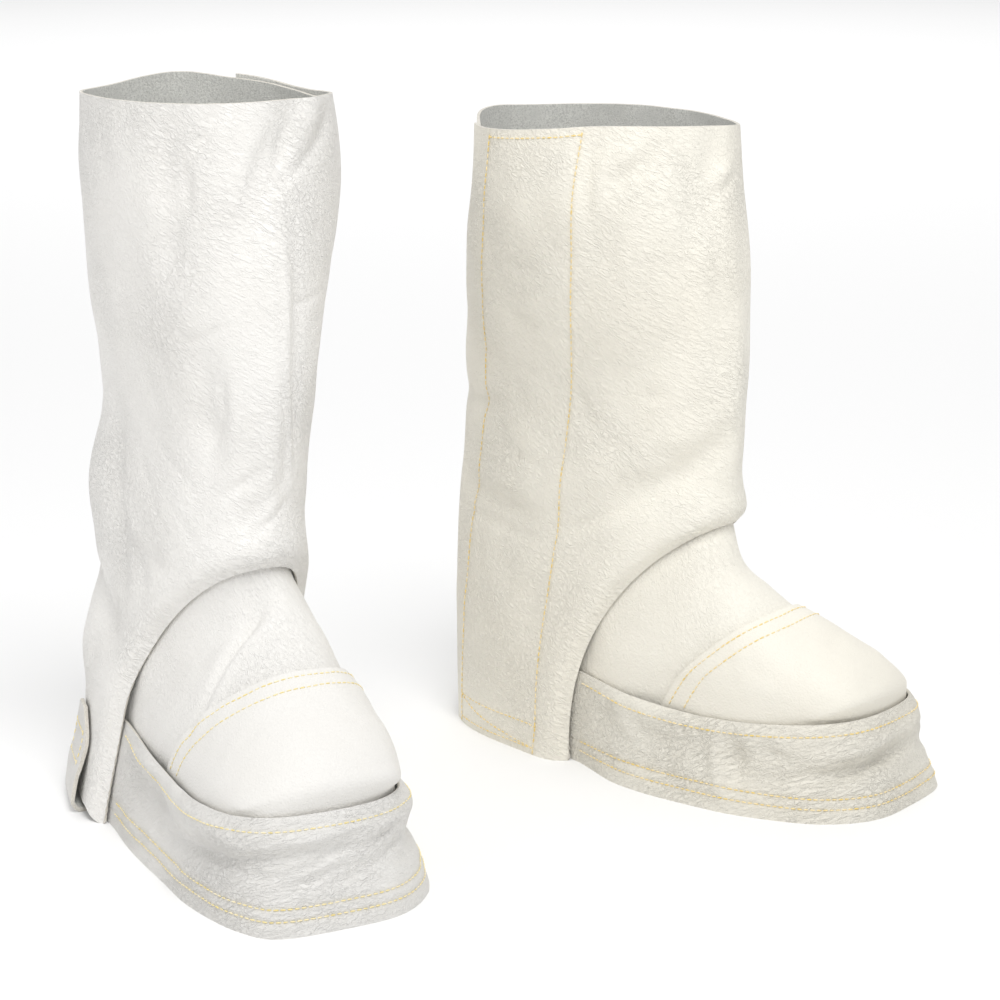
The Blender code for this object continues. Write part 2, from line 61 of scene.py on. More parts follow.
# The shaft's cross-sections, half ovals to the front, the back, the outer and the inner side.
# height, middle outward, reach forward, reach back, reach outward, reach inward
SHAFT_SECTIONS = np.array((
    (0.000, 0.0100, 0.0880, 0.1030, 0.0520, 0.0715),
    (0.045, 0.0100, 0.0880, 0.1045, 0.0520, 0.0625),
    (0.075, 0.0100, 0.0890, 0.1055, 0.0500, 0.0590),
    (0.105, 0.0095, 0.0910, 0.1060, 0.0470, 0.0510),
    (0.140, 0.0095, 0.0935, 0.1050, 0.0457, 0.0457),
    (0.170, 0.0107, 0.0940, 0.1000, 0.0466, 0.0466),
    (0.205, 0.0135, 0.0970, 0.0950, 0.0448, 0.0448),
    (0.235, 0.0145, 0.0990, 0.0940, 0.0485, 0.0485),
    (0.270, 0.0159, 0.0984, 0.0891, 0.0567, 0.0567),
    (0.300, 0.0174, 0.0975, 0.0848, 0.0620, 0.0620),
    (0.340, 0.0186, 0.0918, 0.0760, 0.0668, 0.0668),
    (0.380, 0.0180, 0.0880, 0.0750, 0.0645, 0.0645),
))
SHAFT_HEIGHT = 0.376
HEEL_CLEARANCE = 0.006
SHAFT_GIRTH_RADIUS = 0.068

# The arch that the shaft is cut to over the instep.
ARCH_HALF_ANGLE = math.radians(82)
ARCH_HEIGHT = 0.148
ARCH_POWER = 2.3

# The folds that the shafts stand in. Angles are in degrees, tilts too, from upright. A lift below
# zero is a valley.
# angle, height, half length, half width, tilt, lift
RIGHT_FOLDS = (
    (45, 0.176, 0.042, 0.010, -58, -0.0045),
    (40, 0.198, 0.040, 0.010, -58, 0.0020),
    (138, 0.207, 0.030, 0.007, 90, -0.0035),
    (122, 0.150, 0.030, 0.008, 75, -0.0025),
    (62, 0.350, 0.040, 0.008, 0, -0.0030),
    (14, 0.345, 0.030, 0.009, -15, -0.0035),
    (6, 0.250, 0.100, 0.012, 0, 0.0030),
    (-120, 0.150, 0.050, 0.012, -60, -0.0040),
)
LEFT_FOLDS = (
    (-46, 0.340, 0.038, 0.010, 8, -0.0045),
    (0, 0.347, 0.036, 0.009, 28, -0.0045),
    (-2, 0.225, 0.090, 0.010, 0, 0.0040),
    (-38, 0.225, 0.034, 0.009, 0, -0.0035),
    (-96, 0.168, 0.045, 0.008, -10, -0.0055),
    (-122, 0.168, 0.036, 0.024, 0, 0.0075),
    (-110, 0.110, 0.034, 0.010, -65, -0.0065),
    (-128, 0.078, 0.030, 0.030, 0, 0.0030),
    (-12, 0.172, 0.022, 0.008, 50, -0.0035),
    (110, 0.190, 0.050, 0.012, 60, -0.0040),
)
FOLD_FADE = (0.010, 0.034)
FOLD_FLOOR = (0.055, 0.085)

# The rises and dips of the shafts' upper edges. Angles are in degrees.
# angle, half width, lift
RIGHT_RIM = (
    (52, 35, 0.0035),
    (138, 30, -0.0055),
    (-128, 50, 0.0025),
    (-38, 30, -0.0020),
)
LEFT_RIM = ((150, 25, -0.0010),)
# The plain waves of both upper edges.
# lift, how many round the leg, shift
RIM_WAVES = ((0.0022, 2, 0.6), (0.0012, 3, -math.pi / 2))

# The two upright edges of the shaft's leather, at the ground and at the rim.
UNDER_EDGE = (math.radians(92), math.radians(64))
FREE_EDGE = (math.radians(152), math.radians(138))
LAP_RELEASE = math.radians(30)
UNDER_EDGE_DROP = 0.002

# The roll along the arch, where the shaft is turned in to its seam.
# distance from the edge, lift
ROLL = np.array((
    (0.000, -0.0030),
    (0.002, -0.0010),
    (0.005, 0.0016),
    (0.009, 0.0030),
    (0.014, 0.0028),
    (0.021, 0.0014),
    (0.032, 0.0000),
    (0.043, 0.0000),
    (0.054, 0.0000),
))
ROLL_ROWS = (0.0, 0.0025, 0.006, 0.010, 0.015, 0.022, 0.032)
SHAFT_ROWS = 15
HEEL_COLUMNS = 18
CORNER_COLUMNS = 4
SIDE_COLUMNS = 4
LAP_COLUMNS = 6
CORNER_ARC = math.radians(10)
HEEL_RAMP = math.radians(12)
HEEL_LIFT_FROM = math.radians(150)
LAP_MARGIN = math.radians(3)
LEAN_REACH = 0.12
LEAN_ARC = math.radians(75)

# The seam between the upper and the skirt, from the toe round to a rear corner.
# station, forward, half width outward, half width inward, height
SEAM_RAIL = np.array((
    (0.00, 0.1955, 0.0000, 0.0000, 0.0550),
    (0.10, 0.1905, 0.0280, 0.0300, 0.0545),
    (0.20, 0.1740, 0.0465, 0.0455, 0.0530),
    (0.32, 0.1440, 0.0560, 0.0505, 0.0500),
    (0.50, 0.1020, 0.0580, 0.0480, 0.0470),
    (0.70, 0.0580, 0.0580, 0.0455, 0.0490),
))
# The skirt's lower edge, on the ground.
# station, forward, half width outward, half width inward, height
HEM_RAIL = np.array((
    (0.00, 0.2100, 0.0000, 0.0000, 0.0000),
    (0.10, 0.2065, 0.0320, 0.0370, 0.0000),
    (0.20, 0.1875, 0.0560, 0.0515, 0.0000),
    (0.32, 0.1510, 0.0715, 0.0600, 0.0000),
    (0.50, 0.1040, 0.0770, 0.0605, 0.0000),
    (0.70, 0.0580, 0.0740, 0.0595, 0.0000),
))
# Where both rails pass behind the shaft's edge, and where they end.
# station, angle on the shaft
RAIL_TUCKS = ((0.90, math.radians(81)), (1.00, math.radians(91)))
SKIRT_TOP_REAR = 0.056
# The stations over which the skirt goes over from loose to held behind the shaft.
SKIRT_HELD = (0.72, 0.90)

# The skirt's fall from its seam to its hem.
# share of the fall, share of the way out to the hem, lift
SKIRT_FALL = np.array((
    (0.00, 0.00, 0.0000),
    (0.05, 0.02, 0.0016),
    (0.12, 0.06, 0.0026),
    (0.22, 0.14, 0.0022),
    (0.36, 0.28, 0.0008),
    (0.52, 0.46, 0.0000),
    (0.68, 0.65, 0.0000),
    (0.84, 0.83, 0.0000),
    (1.00, 1.00, 0.0000),
))

# The upper of the foot from the arch to the toe. Roundness is that of the section's height.
# ridge forward, ridge height, seam station, roundness outward, roundness inward, share of the arch
UPPER_SECTIONS = np.array((
    (0.1010, 0.1275, 0.825, 2.7, 2.9, 0.85),
    (0.1160, 0.1160, 0.720, 2.8, 2.7, 0.46),
    (0.1320, 0.1060, 0.615, 2.9, 2.4, 0.14),
    (0.1460, 0.0995, 0.530, 3.0, 2.3, 0.00),
    (0.1590, 0.0930, 0.450, 3.0, 2.3, 0.00),
    (0.1715, 0.0868, 0.375, 2.9, 2.3, 0.00),
    (0.1825, 0.0805, 0.310, 2.7, 2.3, 0.00),
    (0.1910, 0.0735, 0.255, 2.4, 2.2, 0.00),
    (0.1955, 0.0665, 0.215, 2.1, 2.1, 0.00),
))
LIP_STATION = 0.195
TIP_STATION = 0.185
SKIRT_TUCK_STATIONS = (1.00, 0.96, 0.92, 0.875)
UPPER_POWER = 2.3
RIDGE_SKEW = 0.008
UPPER_COLUMNS = 16
UPPER_TUCK = 0.008
UPPER_TUCK_TURN = math.radians(6)
RIDGE_SLANT = (0.5, 0.85)
SEAM_TUCK = 0.005
LIP_RISE = 0.0006
SKIRT_CLEAR = 0.035
VAMP_DEPTH = 0.0048
VAMP_FOOT_DEPTH = 0.0086
SKIRT_DEPTH = 0.0057
CAP_ROW = 4
CAP_LAP_ROWS = 1
CAP_DIP = 0.25

# The strap under the foot. It is sewn inside the outer wall and turns up outside the inner wall.
STRAP_FRONT = -0.012
STRAP_BACK = -0.058
STRAP_COLUMNS = 4
STRAP_STEPS = 4
STRAP_SEWN_TOP = 0.040
STRAP_SEWN_FOOT = 0.003
STRAP_SEWN_EASE = 0.0008
STRAP_SEWN_DEPTH = 2 * (LEATHER + LAP_GAP) + STRAP_SEWN_EASE
STRAP_GAP = 0.0014
STRAP_TURN = 0.007
STRAP_LOOP = 0.003
STRAP_RISE = (0.017, 0.026, 0.038, 0.052)
STRAP_STAND_OFF = (0.0026, 0.0010, 0.0, 0.0)
STRAP_TIP_WIDTH = 0.014


def smooth_step(value: Array) -> Array:
    """A soft ramp from 0 to 1."""
    t = np.clip(value, 0.0, 1.0)
    return t * t * (3.0 - 2.0 * t)


def fade_in(value: Array, start: float, full: float) -> Array:
    """A soft ramp from 0 at a start to 1 at a full value."""
    return smooth_step((value - start) / (full - start))


def along_table(table: Array, at: Array) -> Array:
    """The later columns of a table at other values of its first, on smooth curves.

    Args:
        table: Rows of a key and its values.
        at: Keys to read the table at.

    Returns:
        One row of values for each key.
    """
    keys = table[:, 0]
    values = table[:, 1:]
    slopes = np.gradient(values, keys, axis=0)
    at = np.clip(np.asarray(at, float), keys[0], keys[-1])
    i = np.clip(np.searchsorted(keys, at, side="right") - 1, 0, len(keys) - 2)
    step = (keys[i + 1] - keys[i])[..., None]
    t = (at - keys[i])[..., None] / step
    start = (1 + 2 * t) * (1 - t) ** 2 * values[i] + t * (1 - t) ** 2 * step * slopes[i]
    end = t * t * (3 - 2 * t) * values[i + 1] - t * t * (1 - t) * step * slopes[i + 1]
    return start + end


def sample_grid(grid: Array, u: Array, v: Array) -> Array:
    """A coarse grid read smoothly between its rows and columns.

    Args:
        grid: Rows by columns by channels.
        u: Row numbers, whole or between.
        v: Column numbers, whole or between.

    Returns:
        The channels at each place.
    """
    u, v = np.broadcast_arrays(np.asarray(u, float), np.asarray(v, float))
    rows, columns = grid.shape[:2]

    def weights(at: Array, count: int) -> tuple[Array, list[Array]]:
        """The first of four lines round each place, and the weight of each."""
        first = np.clip(np.floor(at).astype(int), 0, count - 2)
        t = at - first
        return first, [
            ((-0.5 * t + 1.0) * t - 0.5) * t,
            (1.5 * t - 2.5) * t * t + 1.0,
            ((-1.5 * t + 2.0) * t + 0.5) * t,
            (0.5 * t - 0.5) * t * t,
        ]

    row, row_weights = weights(u, rows)
    column, column_weights = weights(v, columns)
    total = np.zeros(u.shape + grid.shape[2:])
    padded = np.pad(grid, ((1, 1), (1, 1), (0, 0)), mode="reflect", reflect_type="odd")
    for i, row_weight in enumerate(row_weights):
        for j, column_weight in enumerate(column_weights):
            total += (row_weight * column_weight)[..., None] * padded[row + i, column + j]
    return total


def crease_lift(creases: tuple, x: Array, y: Array, period: float = 0.0) -> Array:
    """How far soft creases lift a face.

    Args:
        creases: Rows of x, y, half length, half width, tilt from y and lift.
        x: Places across the face in metres.
        y: Places up the face in metres.
        period: Distance after which x comes round again, if it does.

    Returns:
        The lift at each place.
    """
    lift = np.zeros(np.broadcast(x, y).shape)
    for at_x, at_y, half_length, half_width, tilt, depth in creases:
        across = x - at_x
        if period:
            across = (across + period / 2) % period - period / 2
        rise = y - at_y
        along = (across * math.sin(tilt) + rise * math.cos(tilt)) / half_length
        beside = (across * math.cos(tilt) - rise * math.sin(tilt)) / half_width
        lift += depth * np.exp(-along * along - beside * beside)
    return lift


def crease_rows(rows: tuple, around: float = 1.0) -> tuple:
    """Crease rows with their tilts in radians and their first column in metres."""
    return tuple((row[0] * around, *row[1:4], math.radians(row[4]), row[5]) for row in rows)


def waves(place: Array, length: float, seed: int, count: int = 14) -> Array:
    """Soft uneven waves through space, about -1 to 1.

    Args:
        place: Points in metres.
        length: The usual length of a wave in metres.
        seed: Fixes the waves' directions.
        count: How many plain waves are summed.

    Returns:
        One height for each point.
    """
    chance = np.random.default_rng(seed)
    total = np.zeros(place.shape[:-1])
    for _ in range(count):
        way = chance.normal(size=3)
        way /= np.linalg.norm(way)
        stretch = length * chance.uniform(0.6, 1.8)
        total += np.sin(place @ way * FULL / stretch + chance.uniform(0, FULL))
    return total / math.sqrt(count)


def wave_lift(rows: tuple, place: Array, seed: int) -> Array:
    """The lift of layers of soft waves, each with the next seed.

    Args:
        rows: Rows of lift, length and squeeze in height.
        place: Points in metres.
        seed: The first layer's seed.

    Returns:
        The lift at each point.
    """
    lifts = [
        lift * waves(place * (1.0, 1.0, squeeze), length, seed + number)
        for number, (lift, length, squeeze) in enumerate(rows)
    ]
    return sum(lifts[1:], lifts[0])


class ShaftCut:
    """The leg tube's surface, shared by every panel that follows it."""

    @staticmethod
    def surface(angle: Array, height: Array) -> Array:
        """Points of the plain shaft at angles from the toe, turning outward, and heights."""
        angle, height = np.broadcast_arrays(np.asarray(angle, float), np.asarray(height, float))
        section = along_table(SHAFT_SECTIONS, height)
        middle, ahead, behind, outward, inward = np.moveaxis(section, -1, 0)
        forward = np.where(np.cos(angle) > 0, ahead, behind) * np.cos(angle)
        sideways = middle + np.where(np.sin(angle) > 0, outward, inward) * np.sin(angle)
        return np.stack((forward, sideways, height), axis=-1)

    @classmethod
    def skin(cls, angle: Array, height: Array, lift: Array) -> Array:
        """Points off the shaft's surface, lifted along its normal."""
        step = 1e-4
        turn = cls.surface(angle + step, height) - cls.surface(angle - step, height)
        rise = cls.surface(angle, height + step) - cls.surface(angle, height - step)
        normal = np.cross(turn, rise)
        normal /= np.linalg.norm(normal, axis=-1, keepdims=True)
        return cls.surface(angle, height) + normal * np.asarray(lift)[..., None]

    @staticmethod
    def arch_curve(turn: Array) -> tuple[Array, Array]:
        """Angle and height on the arch, turn running from 0 at one foot to pi at the other."""
        across = np.cos(turn)
        power = 2.0 / ARCH_POWER
        angle = ARCH_HALF_ANGLE * np.sign(across) * np.abs(across) ** power
        return angle, ARCH_HEIGHT * np.abs(np.sin(turn)) ** power

    @classmethod
    def even_turns(cls, first: float, last: float, count: int) -> Array:
        """Turns on the arch between two others, evenly spaced along it."""
        turns = np.linspace(first, last, 200)
        angle, height = cls.arch_curve(turns)
        steps = np.hypot(np.diff(angle) * SHAFT_GIRTH_RADIUS, np.diff(height))
        length = np.concatenate(((0.0,), np.cumsum(steps)))
        return np.interp(np.linspace(0, length[-1], count + 1), length, turns)

    @classmethod
    def upper_turns(cls) -> Array:
        """The turns on the arch where the upper's columns start."""
        low = math.asin(((SKIRT_TOP_REAR - SEAM_TUCK) / ARCH_HEIGHT) ** (ARCH_POWER / 2.0))
        return cls.even_turns(low, math.pi - low, UPPER_COLUMNS)

    @classmethod
    def distance_to_arch(cls, angle: Array, height: Array) -> Array:
        """How far points of the shaft are from its arch, over the leather."""
        arch_angle, arch_height = cls.arch_curve(np.linspace(0, math.pi, 400))
        turned = ((angle + math.pi) % FULL - math.pi).ravel()
        flat_height = np.broadcast_to(height, angle.shape).ravel()
        nearest = np.full(turned.shape, 1.0)
        for at_angle, at_height in zip(arch_angle, arch_height):
            away = np.hypot((turned - at_angle) * SHAFT_GIRTH_RADIUS, flat_height - at_height)
            np.minimum(nearest, away, out=nearest)
        return nearest.reshape(angle.shape)

    @classmethod
    def face(cls, angle: Array, height: Array, lift: Array) -> Array:
        """Points off the shaft's worked face, with the roll along its arch."""
        angle, height = np.broadcast_arrays(np.asarray(angle, float), np.asarray(height, float))
        roll = along_table(ROLL, cls.distance_to_arch(angle, height))[..., 0]
        return cls.skin(angle, height, roll + lift)


def shaft_edge() -> tuple[Array, Array]:
    """Angle and height down the shaft's lower edge, from the under edge to the free edge."""
    corner = ARCH_HALF_ANGLE
    heel = np.linspace(UNDER_EDGE[0], FULL - corner - CORNER_ARC, HEEL_COLUMNS + 1)
    inner_corner = np.linspace(heel[-1], FULL - corner, CORNER_COLUMNS + 1)
    outer_corner = np.linspace(FULL + corner, FULL + corner + CORNER_ARC, CORNER_COLUMNS + 1)
    lap = np.linspace(outer_corner[-1], FULL + FREE_EDGE[0], LAP_COLUMNS + 1)
    upper = ShaftCut.upper_turns()
    side = ShaftCut.even_turns(0.0, upper[0], SIDE_COLUMNS)
    turns = np.concatenate((side, upper[1:-1], math.pi - side[::-1]))[::-1]
    arch_angle, arch_height = ShaftCut.arch_curve(turns)
    before = np.concatenate((heel, inner_corner[1:-1]))
    after = np.concatenate((outer_corner[1:], lap[1:]))
    angle = np.concatenate((before, FULL + arch_angle, after))
    height = np.concatenate((np.zeros(len(before)), arch_height, np.zeros(len(after))))
    turned = (angle + math.pi) % FULL - math.pi
    inner = smooth_step((-turned - corner) / HEEL_RAMP) * (turned < -corner)
    outer = fade_in(turned, HEEL_LIFT_FROM, math.pi)
    return angle, height + HEEL_CLEARANCE * (inner + outer)


def rim_height(rim: tuple, angle: Array) -> Array:
    """The shaft's wavy upper edge."""
    height = SHAFT_HEIGHT + sum(lift * np.cos(count * angle + shift) for lift, count, shift in RIM_WAVES)
    for at_angle, half_width, lift in rim:
        turned = (angle - math.radians(at_angle) + math.pi) % FULL - math.pi
        height = height + lift * np.exp(-((turned / math.radians(half_width)) ** 2))
    return height


def column_lean(turned: Array, height: Array) -> Array:
    """How far the shaft's columns lean away from the arch as they rise from its lower edge."""
    beyond = 1 - smooth_step((np.abs(turned) - ARCH_HALF_ANGLE) / LEAN_ARC)
    return np.sign(turned) * beyond * (1 - (height / ARCH_HEIGHT) ** 2)


def shaft_places(rim: tuple) -> Array:
    """Angle, height and share of the way to the rim on the shaft's grid."""
    angle, height = shaft_edge()
    share = np.linspace(0, 1, len(angle))
    even = UNDER_EDGE[1] + share * (FULL + FREE_EDGE[1] - UNDER_EDGE[1])
    over = (angle - UNDER_EDGE[0]) / (FULL + FREE_EDGE[0] - UNDER_EDGE[0])
    straight = UNDER_EDGE[1] + over * (FULL + FREE_EDGE[1] - UNDER_EDGE[1])
    rim_angle = (even + straight) / 2
    under = 1 - smooth_step((rim_angle - FREE_EDGE[1]) / LAP_RELEASE)
    length = rim_height(rim, rim_angle) - UNDER_EDGE_DROP * under - height
    near = np.array(ROLL_ROWS)
    rest = np.linspace(0, 1, SHAFT_ROWS + 1)[1:]
    down = np.concatenate((
        np.repeat(near[:, None], len(angle), axis=1),
        near[-1] + rest[:, None] * (length - near[-1]),
    ))
    part = down / length
    lean = column_lean(angle - FULL, height) * down * np.exp(-down / LEAN_REACH)
    grid_angle = angle + (rim_angle - angle) * part + lean / SHAFT_GIRTH_RADIUS
    return np.stack((grid_angle, height + down, part), axis=-1)


def rail_points(rail: Array, tuck_height: float, station: Array) -> Array:
    """Points along a rail, at stations from -1 inward to 1 outward."""
    rows = []
    for at, forward, outward, inward, height in rail:
        rows.append((at, forward, outward, height))
        if at > 0:
            rows.append((-at, forward, -inward, height))
    for at, angle in RAIL_TUCKS:
        for side in (-1.0, 1.0):
            angle_there = np.array(side * angle)
            point = ShaftCut.skin(angle_there, np.array(tuck_height), -SKIRT_DEPTH)
            rows.append((side * at, *point))
    return along_table(np.array(sorted(rows)), station)


def outward_of(points: Array) -> Array:
    """Level normals of a line of points that runs round the toe from inward to outward."""
    run = np.gradient(points[:, :2], axis=0)
    normal = np.stack((run[:, 1], -run[:, 0], np.zeros(len(run))), axis=-1)
    return normal / np.linalg.norm(normal, axis=-1, keepdims=True)


def seam_line(station: Array) -> Array:
    """The skirt's upper edge on its outer face."""
    return rail_points(SEAM_RAIL, SKIRT_TOP_REAR, station)


def tip_stations() -> Array:
    """The seam's stations along the upper's last row."""
    return -TIP_STATION * np.cos(np.linspace(0, math.pi, UPPER_COLUMNS + 1))


def skirt_stations() -> Array:
    """The seam's stations, shared by the skirt's columns and the upper's rows."""
    half = np.concatenate((SKIRT_TUCK_STATIONS, UPPER_SECTIONS[:, 2], (LIP_STATION,)))
    return np.concatenate((-half, tip_stations(), half[::-1]))


def skirt_grid() -> Array:
    """The skirt's outer face, rows from the hem to the seam."""
    station = skirt_stations()
    top = seam_line(station)
    hem = rail_points(HEM_RAIL, 0.0, station)
    normal = outward_of(top)
    loose = 1 - fade_in(np.abs(station), *SKIRT_HELD)
    rows = []
    for share, way, lift in SKIRT_FALL:
        plain = top + (hem - top) * share
        shaped = top + (hem - top) * way
        row = plain + (shaped - plain) * loose[:, None]
        row[:, 2] = plain[:, 2]
        rows.append(row + normal * (lift * loose)[:, None])
    return np.array(rows[::-1])


def behind_seam(station: Array, drop: float, rise: float) -> Array:
    """Points behind the skirt's upper edge, on the upper's face or drop deeper."""
    station = np.asarray(station, float)
    lines = seam_line(station + np.array((-1e-3, 0.0, 1e-3))[:, None])
    run = lines[2] - lines[0]
    normal = np.stack((run[:, 1], -run[:, 0], np.zeros(len(run))), axis=-1)
    normal /= np.linalg.norm(normal, axis=-1, keepdims=True)
    point = lines[1] - normal * (LEATHER + SEAM_GAP + drop)
    point[:, 2] += rise
    return point


def between_ends(ends: Array, across: Array) -> Array:
    """Points on the line between the two ends of a row."""
    return ends[0] + (ends[1] - ends[0]) * ((across + 1) / 2)[:, None]


def upper_grid(drop: float) -> Array:
    """The upper's face from under the arch to the toe, drop deeper than its own outer face."""
    angle, height = ShaftCut.arch_curve(ShaftCut.upper_turns()[::-1])
    below = 1 - smooth_step((height - SKIRT_TOP_REAR) / SKIRT_CLEAR)
    depth = VAMP_DEPTH + below * (VAMP_FOOT_DEPTH - VAMP_DEPTH) + drop
    arch = ShaftCut.skin(angle, height, -depth)
    tucked_height = height + UPPER_TUCK * (1 - below)
    tucked_angle = angle + np.sign(angle) * UPPER_TUCK_TURN * (angle / ARCH_HALF_ANGLE) ** 2
    rows = [ShaftCut.skin(tucked_angle, tucked_height, -depth), arch]
    inner = arch[1:-1]
    middle = len(inner) // 2
    arch_across = 2 * (inner[:, 1] - inner[0, 1]) / (inner[-1, 1] - inner[0, 1]) - 1
    above = inner - between_ends(inner[[0, -1]], arch_across)
    arch_ahead = above[:, 0] / above[middle, 0]
    arch_up = above[:, 2] / above[middle, 2]
    swing = np.linspace(math.pi, 0, UPPER_COLUMNS - 1)
    round_across = np.sign(np.cos(swing)) * np.abs(np.cos(swing)) ** (2 / UPPER_POWER)
    for ridge_f, ridge_z, station, outward, inward, arch_share in UPPER_SECTIONS:
        round_up = np.sin(swing) ** (2 / np.where(swing > math.pi / 2, inward, outward))
        across = round_across + (arch_across - round_across) * arch_share
        ahead = np.sin(swing) + (arch_ahead - np.sin(swing)) * arch_share
        up = round_up + (arch_up - round_up) * arch_share
        ends = behind_seam((-station, station), drop, LIP_RISE)
        row = between_ends(ends, across)
        row[:, 0] += (ridge_f - drop * RIDGE_SLANT[0] - ends[:, 0].mean()) * ahead
        row[:, 1] += RIDGE_SKEW * np.sin(swing) ** 2
        row[:, 2] += (ridge_z - drop * RIDGE_SLANT[1] - ends[:, 2].mean()) * up
        tucks = behind_seam((-station, station), drop, -SEAM_TUCK)
        rows.append(np.concatenate((tucks[:1], row, tucks[1:])))
    lip = behind_seam(tip_stations()[1:-1], drop, LIP_RISE)
    tucks = behind_seam((-LIP_STATION, LIP_STATION), drop, -SEAM_TUCK)
    rows.append(np.concatenate((tucks[:1], lip, tucks[1:])))
    rows.append(behind_seam(tip_stations(), drop, -SEAM_TUCK))
    return np.array(rows)


def vamp_grid() -> Array:
    """The vamp's face, columns inward, dipping under the toe cap at its front."""
    outer = upper_grid(0.0)
    lower = upper_grid(LEATHER + LAP_GAP)
    last = CAP_ROW + CAP_LAP_ROWS
    rows = outer[: last + 1].copy()
    rows[CAP_ROW:] = lower[CAP_ROW : last + 1]
    dip = CAP_ROW - 1
    rows[dip] = outer[dip] + (lower[dip] - outer[dip]) * CAP_DIP
    return rows[:, ::-1]


def cap_grid() -> Array:
    """The toe cap's face, columns inward."""
    return upper_grid(0.0)[CAP_ROW:, ::-1]


def wall_angle(forward: Array, height: Array, side: float) -> Array:
    """The angle at which the shaft passes a place behind its middle, on one side."""
    behind = along_table(SHAFT_SECTIONS, height)[..., 2]
    return side * (math.pi / 2 + np.arcsin(-forward / behind))


def strap_line(forward: float) -> Array:
    """One lengthwise line of the strap's outer face, from its sewn end to its tip."""
    sewn = np.linspace(STRAP_SEWN_TOP, STRAP_TURN + STRAP_SEWN_FOOT, STRAP_STEPS)
    inside = ShaftCut.face(wall_angle(forward, sewn, 1), sewn, -STRAP_SEWN_DEPTH)
    start = inside[-1]
    turn = np.linspace(0, math.pi / 2, STRAP_STEPS + 1)
    down = turn[1:]
    corner = np.stack((
        start[0] + (forward - start[0]) * np.sin(down),
        start[1] - STRAP_TURN * (1 - np.cos(down)),
        STRAP_TURN * (1 - np.sin(down)),
    ), axis=-1)
    rise = np.array(STRAP_RISE)
    lift = np.array(STRAP_STAND_OFF) + STRAP_GAP + STRAP_THICKNESS
    outside = ShaftCut.face(wall_angle(forward, rise, -1), rise, lift)
    far = outside[0, 1] - STRAP_LOOP
    floor_side = np.linspace(corner[-1, 1], far + STRAP_TURN, STRAP_STEPS + 2)[1:-1]
    floor = np.stack((np.full(STRAP_STEPS, forward), floor_side, np.zeros(STRAP_STEPS)), axis=-1)
    back = turn[::-1]
    bend = np.stack((
        np.full(len(back), forward),
        far + STRAP_TURN * (1 - np.cos(back)),
        STRAP_TURN * (1 - np.sin(back)),
    ), axis=-1)
    return np.concatenate((inside, corner, floor, bend, outside))


def strap_grid() -> Array:
    """The strap's outer face, rows from its sewn end to its pointed tip."""
    middle = (STRAP_FRONT + STRAP_BACK) / 2
    shares = np.linspace(-1, 1, STRAP_COLUMNS + 1)
    lines = [strap_line(middle + share * (STRAP_FRONT - middle)) for share in shares]
    for share, line in zip(shares, lines):
        forward = middle + share * STRAP_TIP_WIDTH / 2
        top = np.array(STRAP_RISE[-1])
        line[-1] = ShaftCut.face(wall_angle(forward, top, -1), top, STRAP_GAP + STRAP_THICKNESS)
    return np.array(lines).transpose(1, 0, 2)


# How far a cut edge bulges, as a share of the thickness, and how sharp a turn stays an edge.
EDGE_BULGE = 0.16
SHARP_TURN = math.radians(46)
# The usual side of a face on each panel.
SHAFT_FACE = 0.0024
FOOT_FACE = 0.0018
STRAP_FACE = 0.0025

# The rows of thread on the shaft's lap: the free row's angles at the ground and at the rim, how far
# inside its edge the held row runs, and the rows of the grid that they and those at the foot reach.
FREE_ROW = (math.radians(144), math.radians(114))
HELD_ROW_INSET = 0.07
LAP_ROW_SPAN = (0.9, 20.79)
LAP_FOOT_ROWS = (1.5, 4.6)
LAP_ROW_ENDS = (0.02, 0.98)
# The rows of thread on the skirt: heights over the hem, and the drop below the seam.
HEM_ROWS = (0.0075, 0.0130)
SEAM_ROW_DROP = 0.0062
SKIRT_ROW_ENDS = 3.3
# The rows of thread on the toe cap and on the strap, in rows and columns of their grids.
CAP_ROWS = (0.25, 0.80)
CAP_ROW_ENDS = 1.15
STRAP_BOX = ((17.7, 19.1), (0.75, 3.25))


# The creases over the shafts' folds. Angles and tilts are in degrees here and below.
# angle, height, half length, half width, tilt, lift
RIGHT_CREASES = (
    (61, 0.348, 0.020, 0.0045, -3, 0.0020),
    (66, 0.346, 0.020, 0.0035, -3, -0.0014),
    (48, 0.355, 0.015, 0.0050, -44, -0.0020),
    (52, 0.363, 0.012, 0.0060, -43, 0.0014),
    (25, 0.355, 0.014, 0.0070, 29, -0.0017),
    (6, 0.351, 0.013, 0.0045, -56, 0.0014),
    (2, 0.345, 0.011, 0.0035, -61, -0.0012),
    (30, 0.287, 0.041, 0.0045, -7, -0.0014),
    (23, 0.292, 0.038, 0.0055, -8, 0.0014),
    (78, 0.218, 0.007, 0.0030, 20, -0.0014),
    (77, 0.208, 0.006, 0.0028, 52, -0.0011),
    (116, 0.134, 0.024, 0.0040, 83, -0.0016),
    (116, 0.159, 0.015, 0.0090, -86, 0.0017),
    (76, 0.147, 0.020, 0.0030, -55, -0.0014),
    (70, 0.141, 0.021, 0.0060, -60, 0.0012),
    (82, 0.096, 0.013, 0.0022, -88, -0.0011),
    (81, 0.103, 0.013, 0.0022, -86, -0.0010),
    (19, 0.145, 0.010, 0.0035, 47, -0.0017),
    (47, 0.192, 0.010, 0.0060, -61, -0.0014),
    (106, 0.180, 0.014, 0.0030, 64, -0.0008),
    (102, 0.298, 0.018, 0.0026, 74, -0.0008),
    (102, 0.266, 0.018, 0.0024, 68, -0.0008),
    (113, 0.237, 0.018, 0.0024, 74, -0.0008),
    (50, 0.226, 0.007, 0.0050, -72, -0.0011),
    (56, 0.134, 0.010, 0.0040, -44, 0.0010),
)
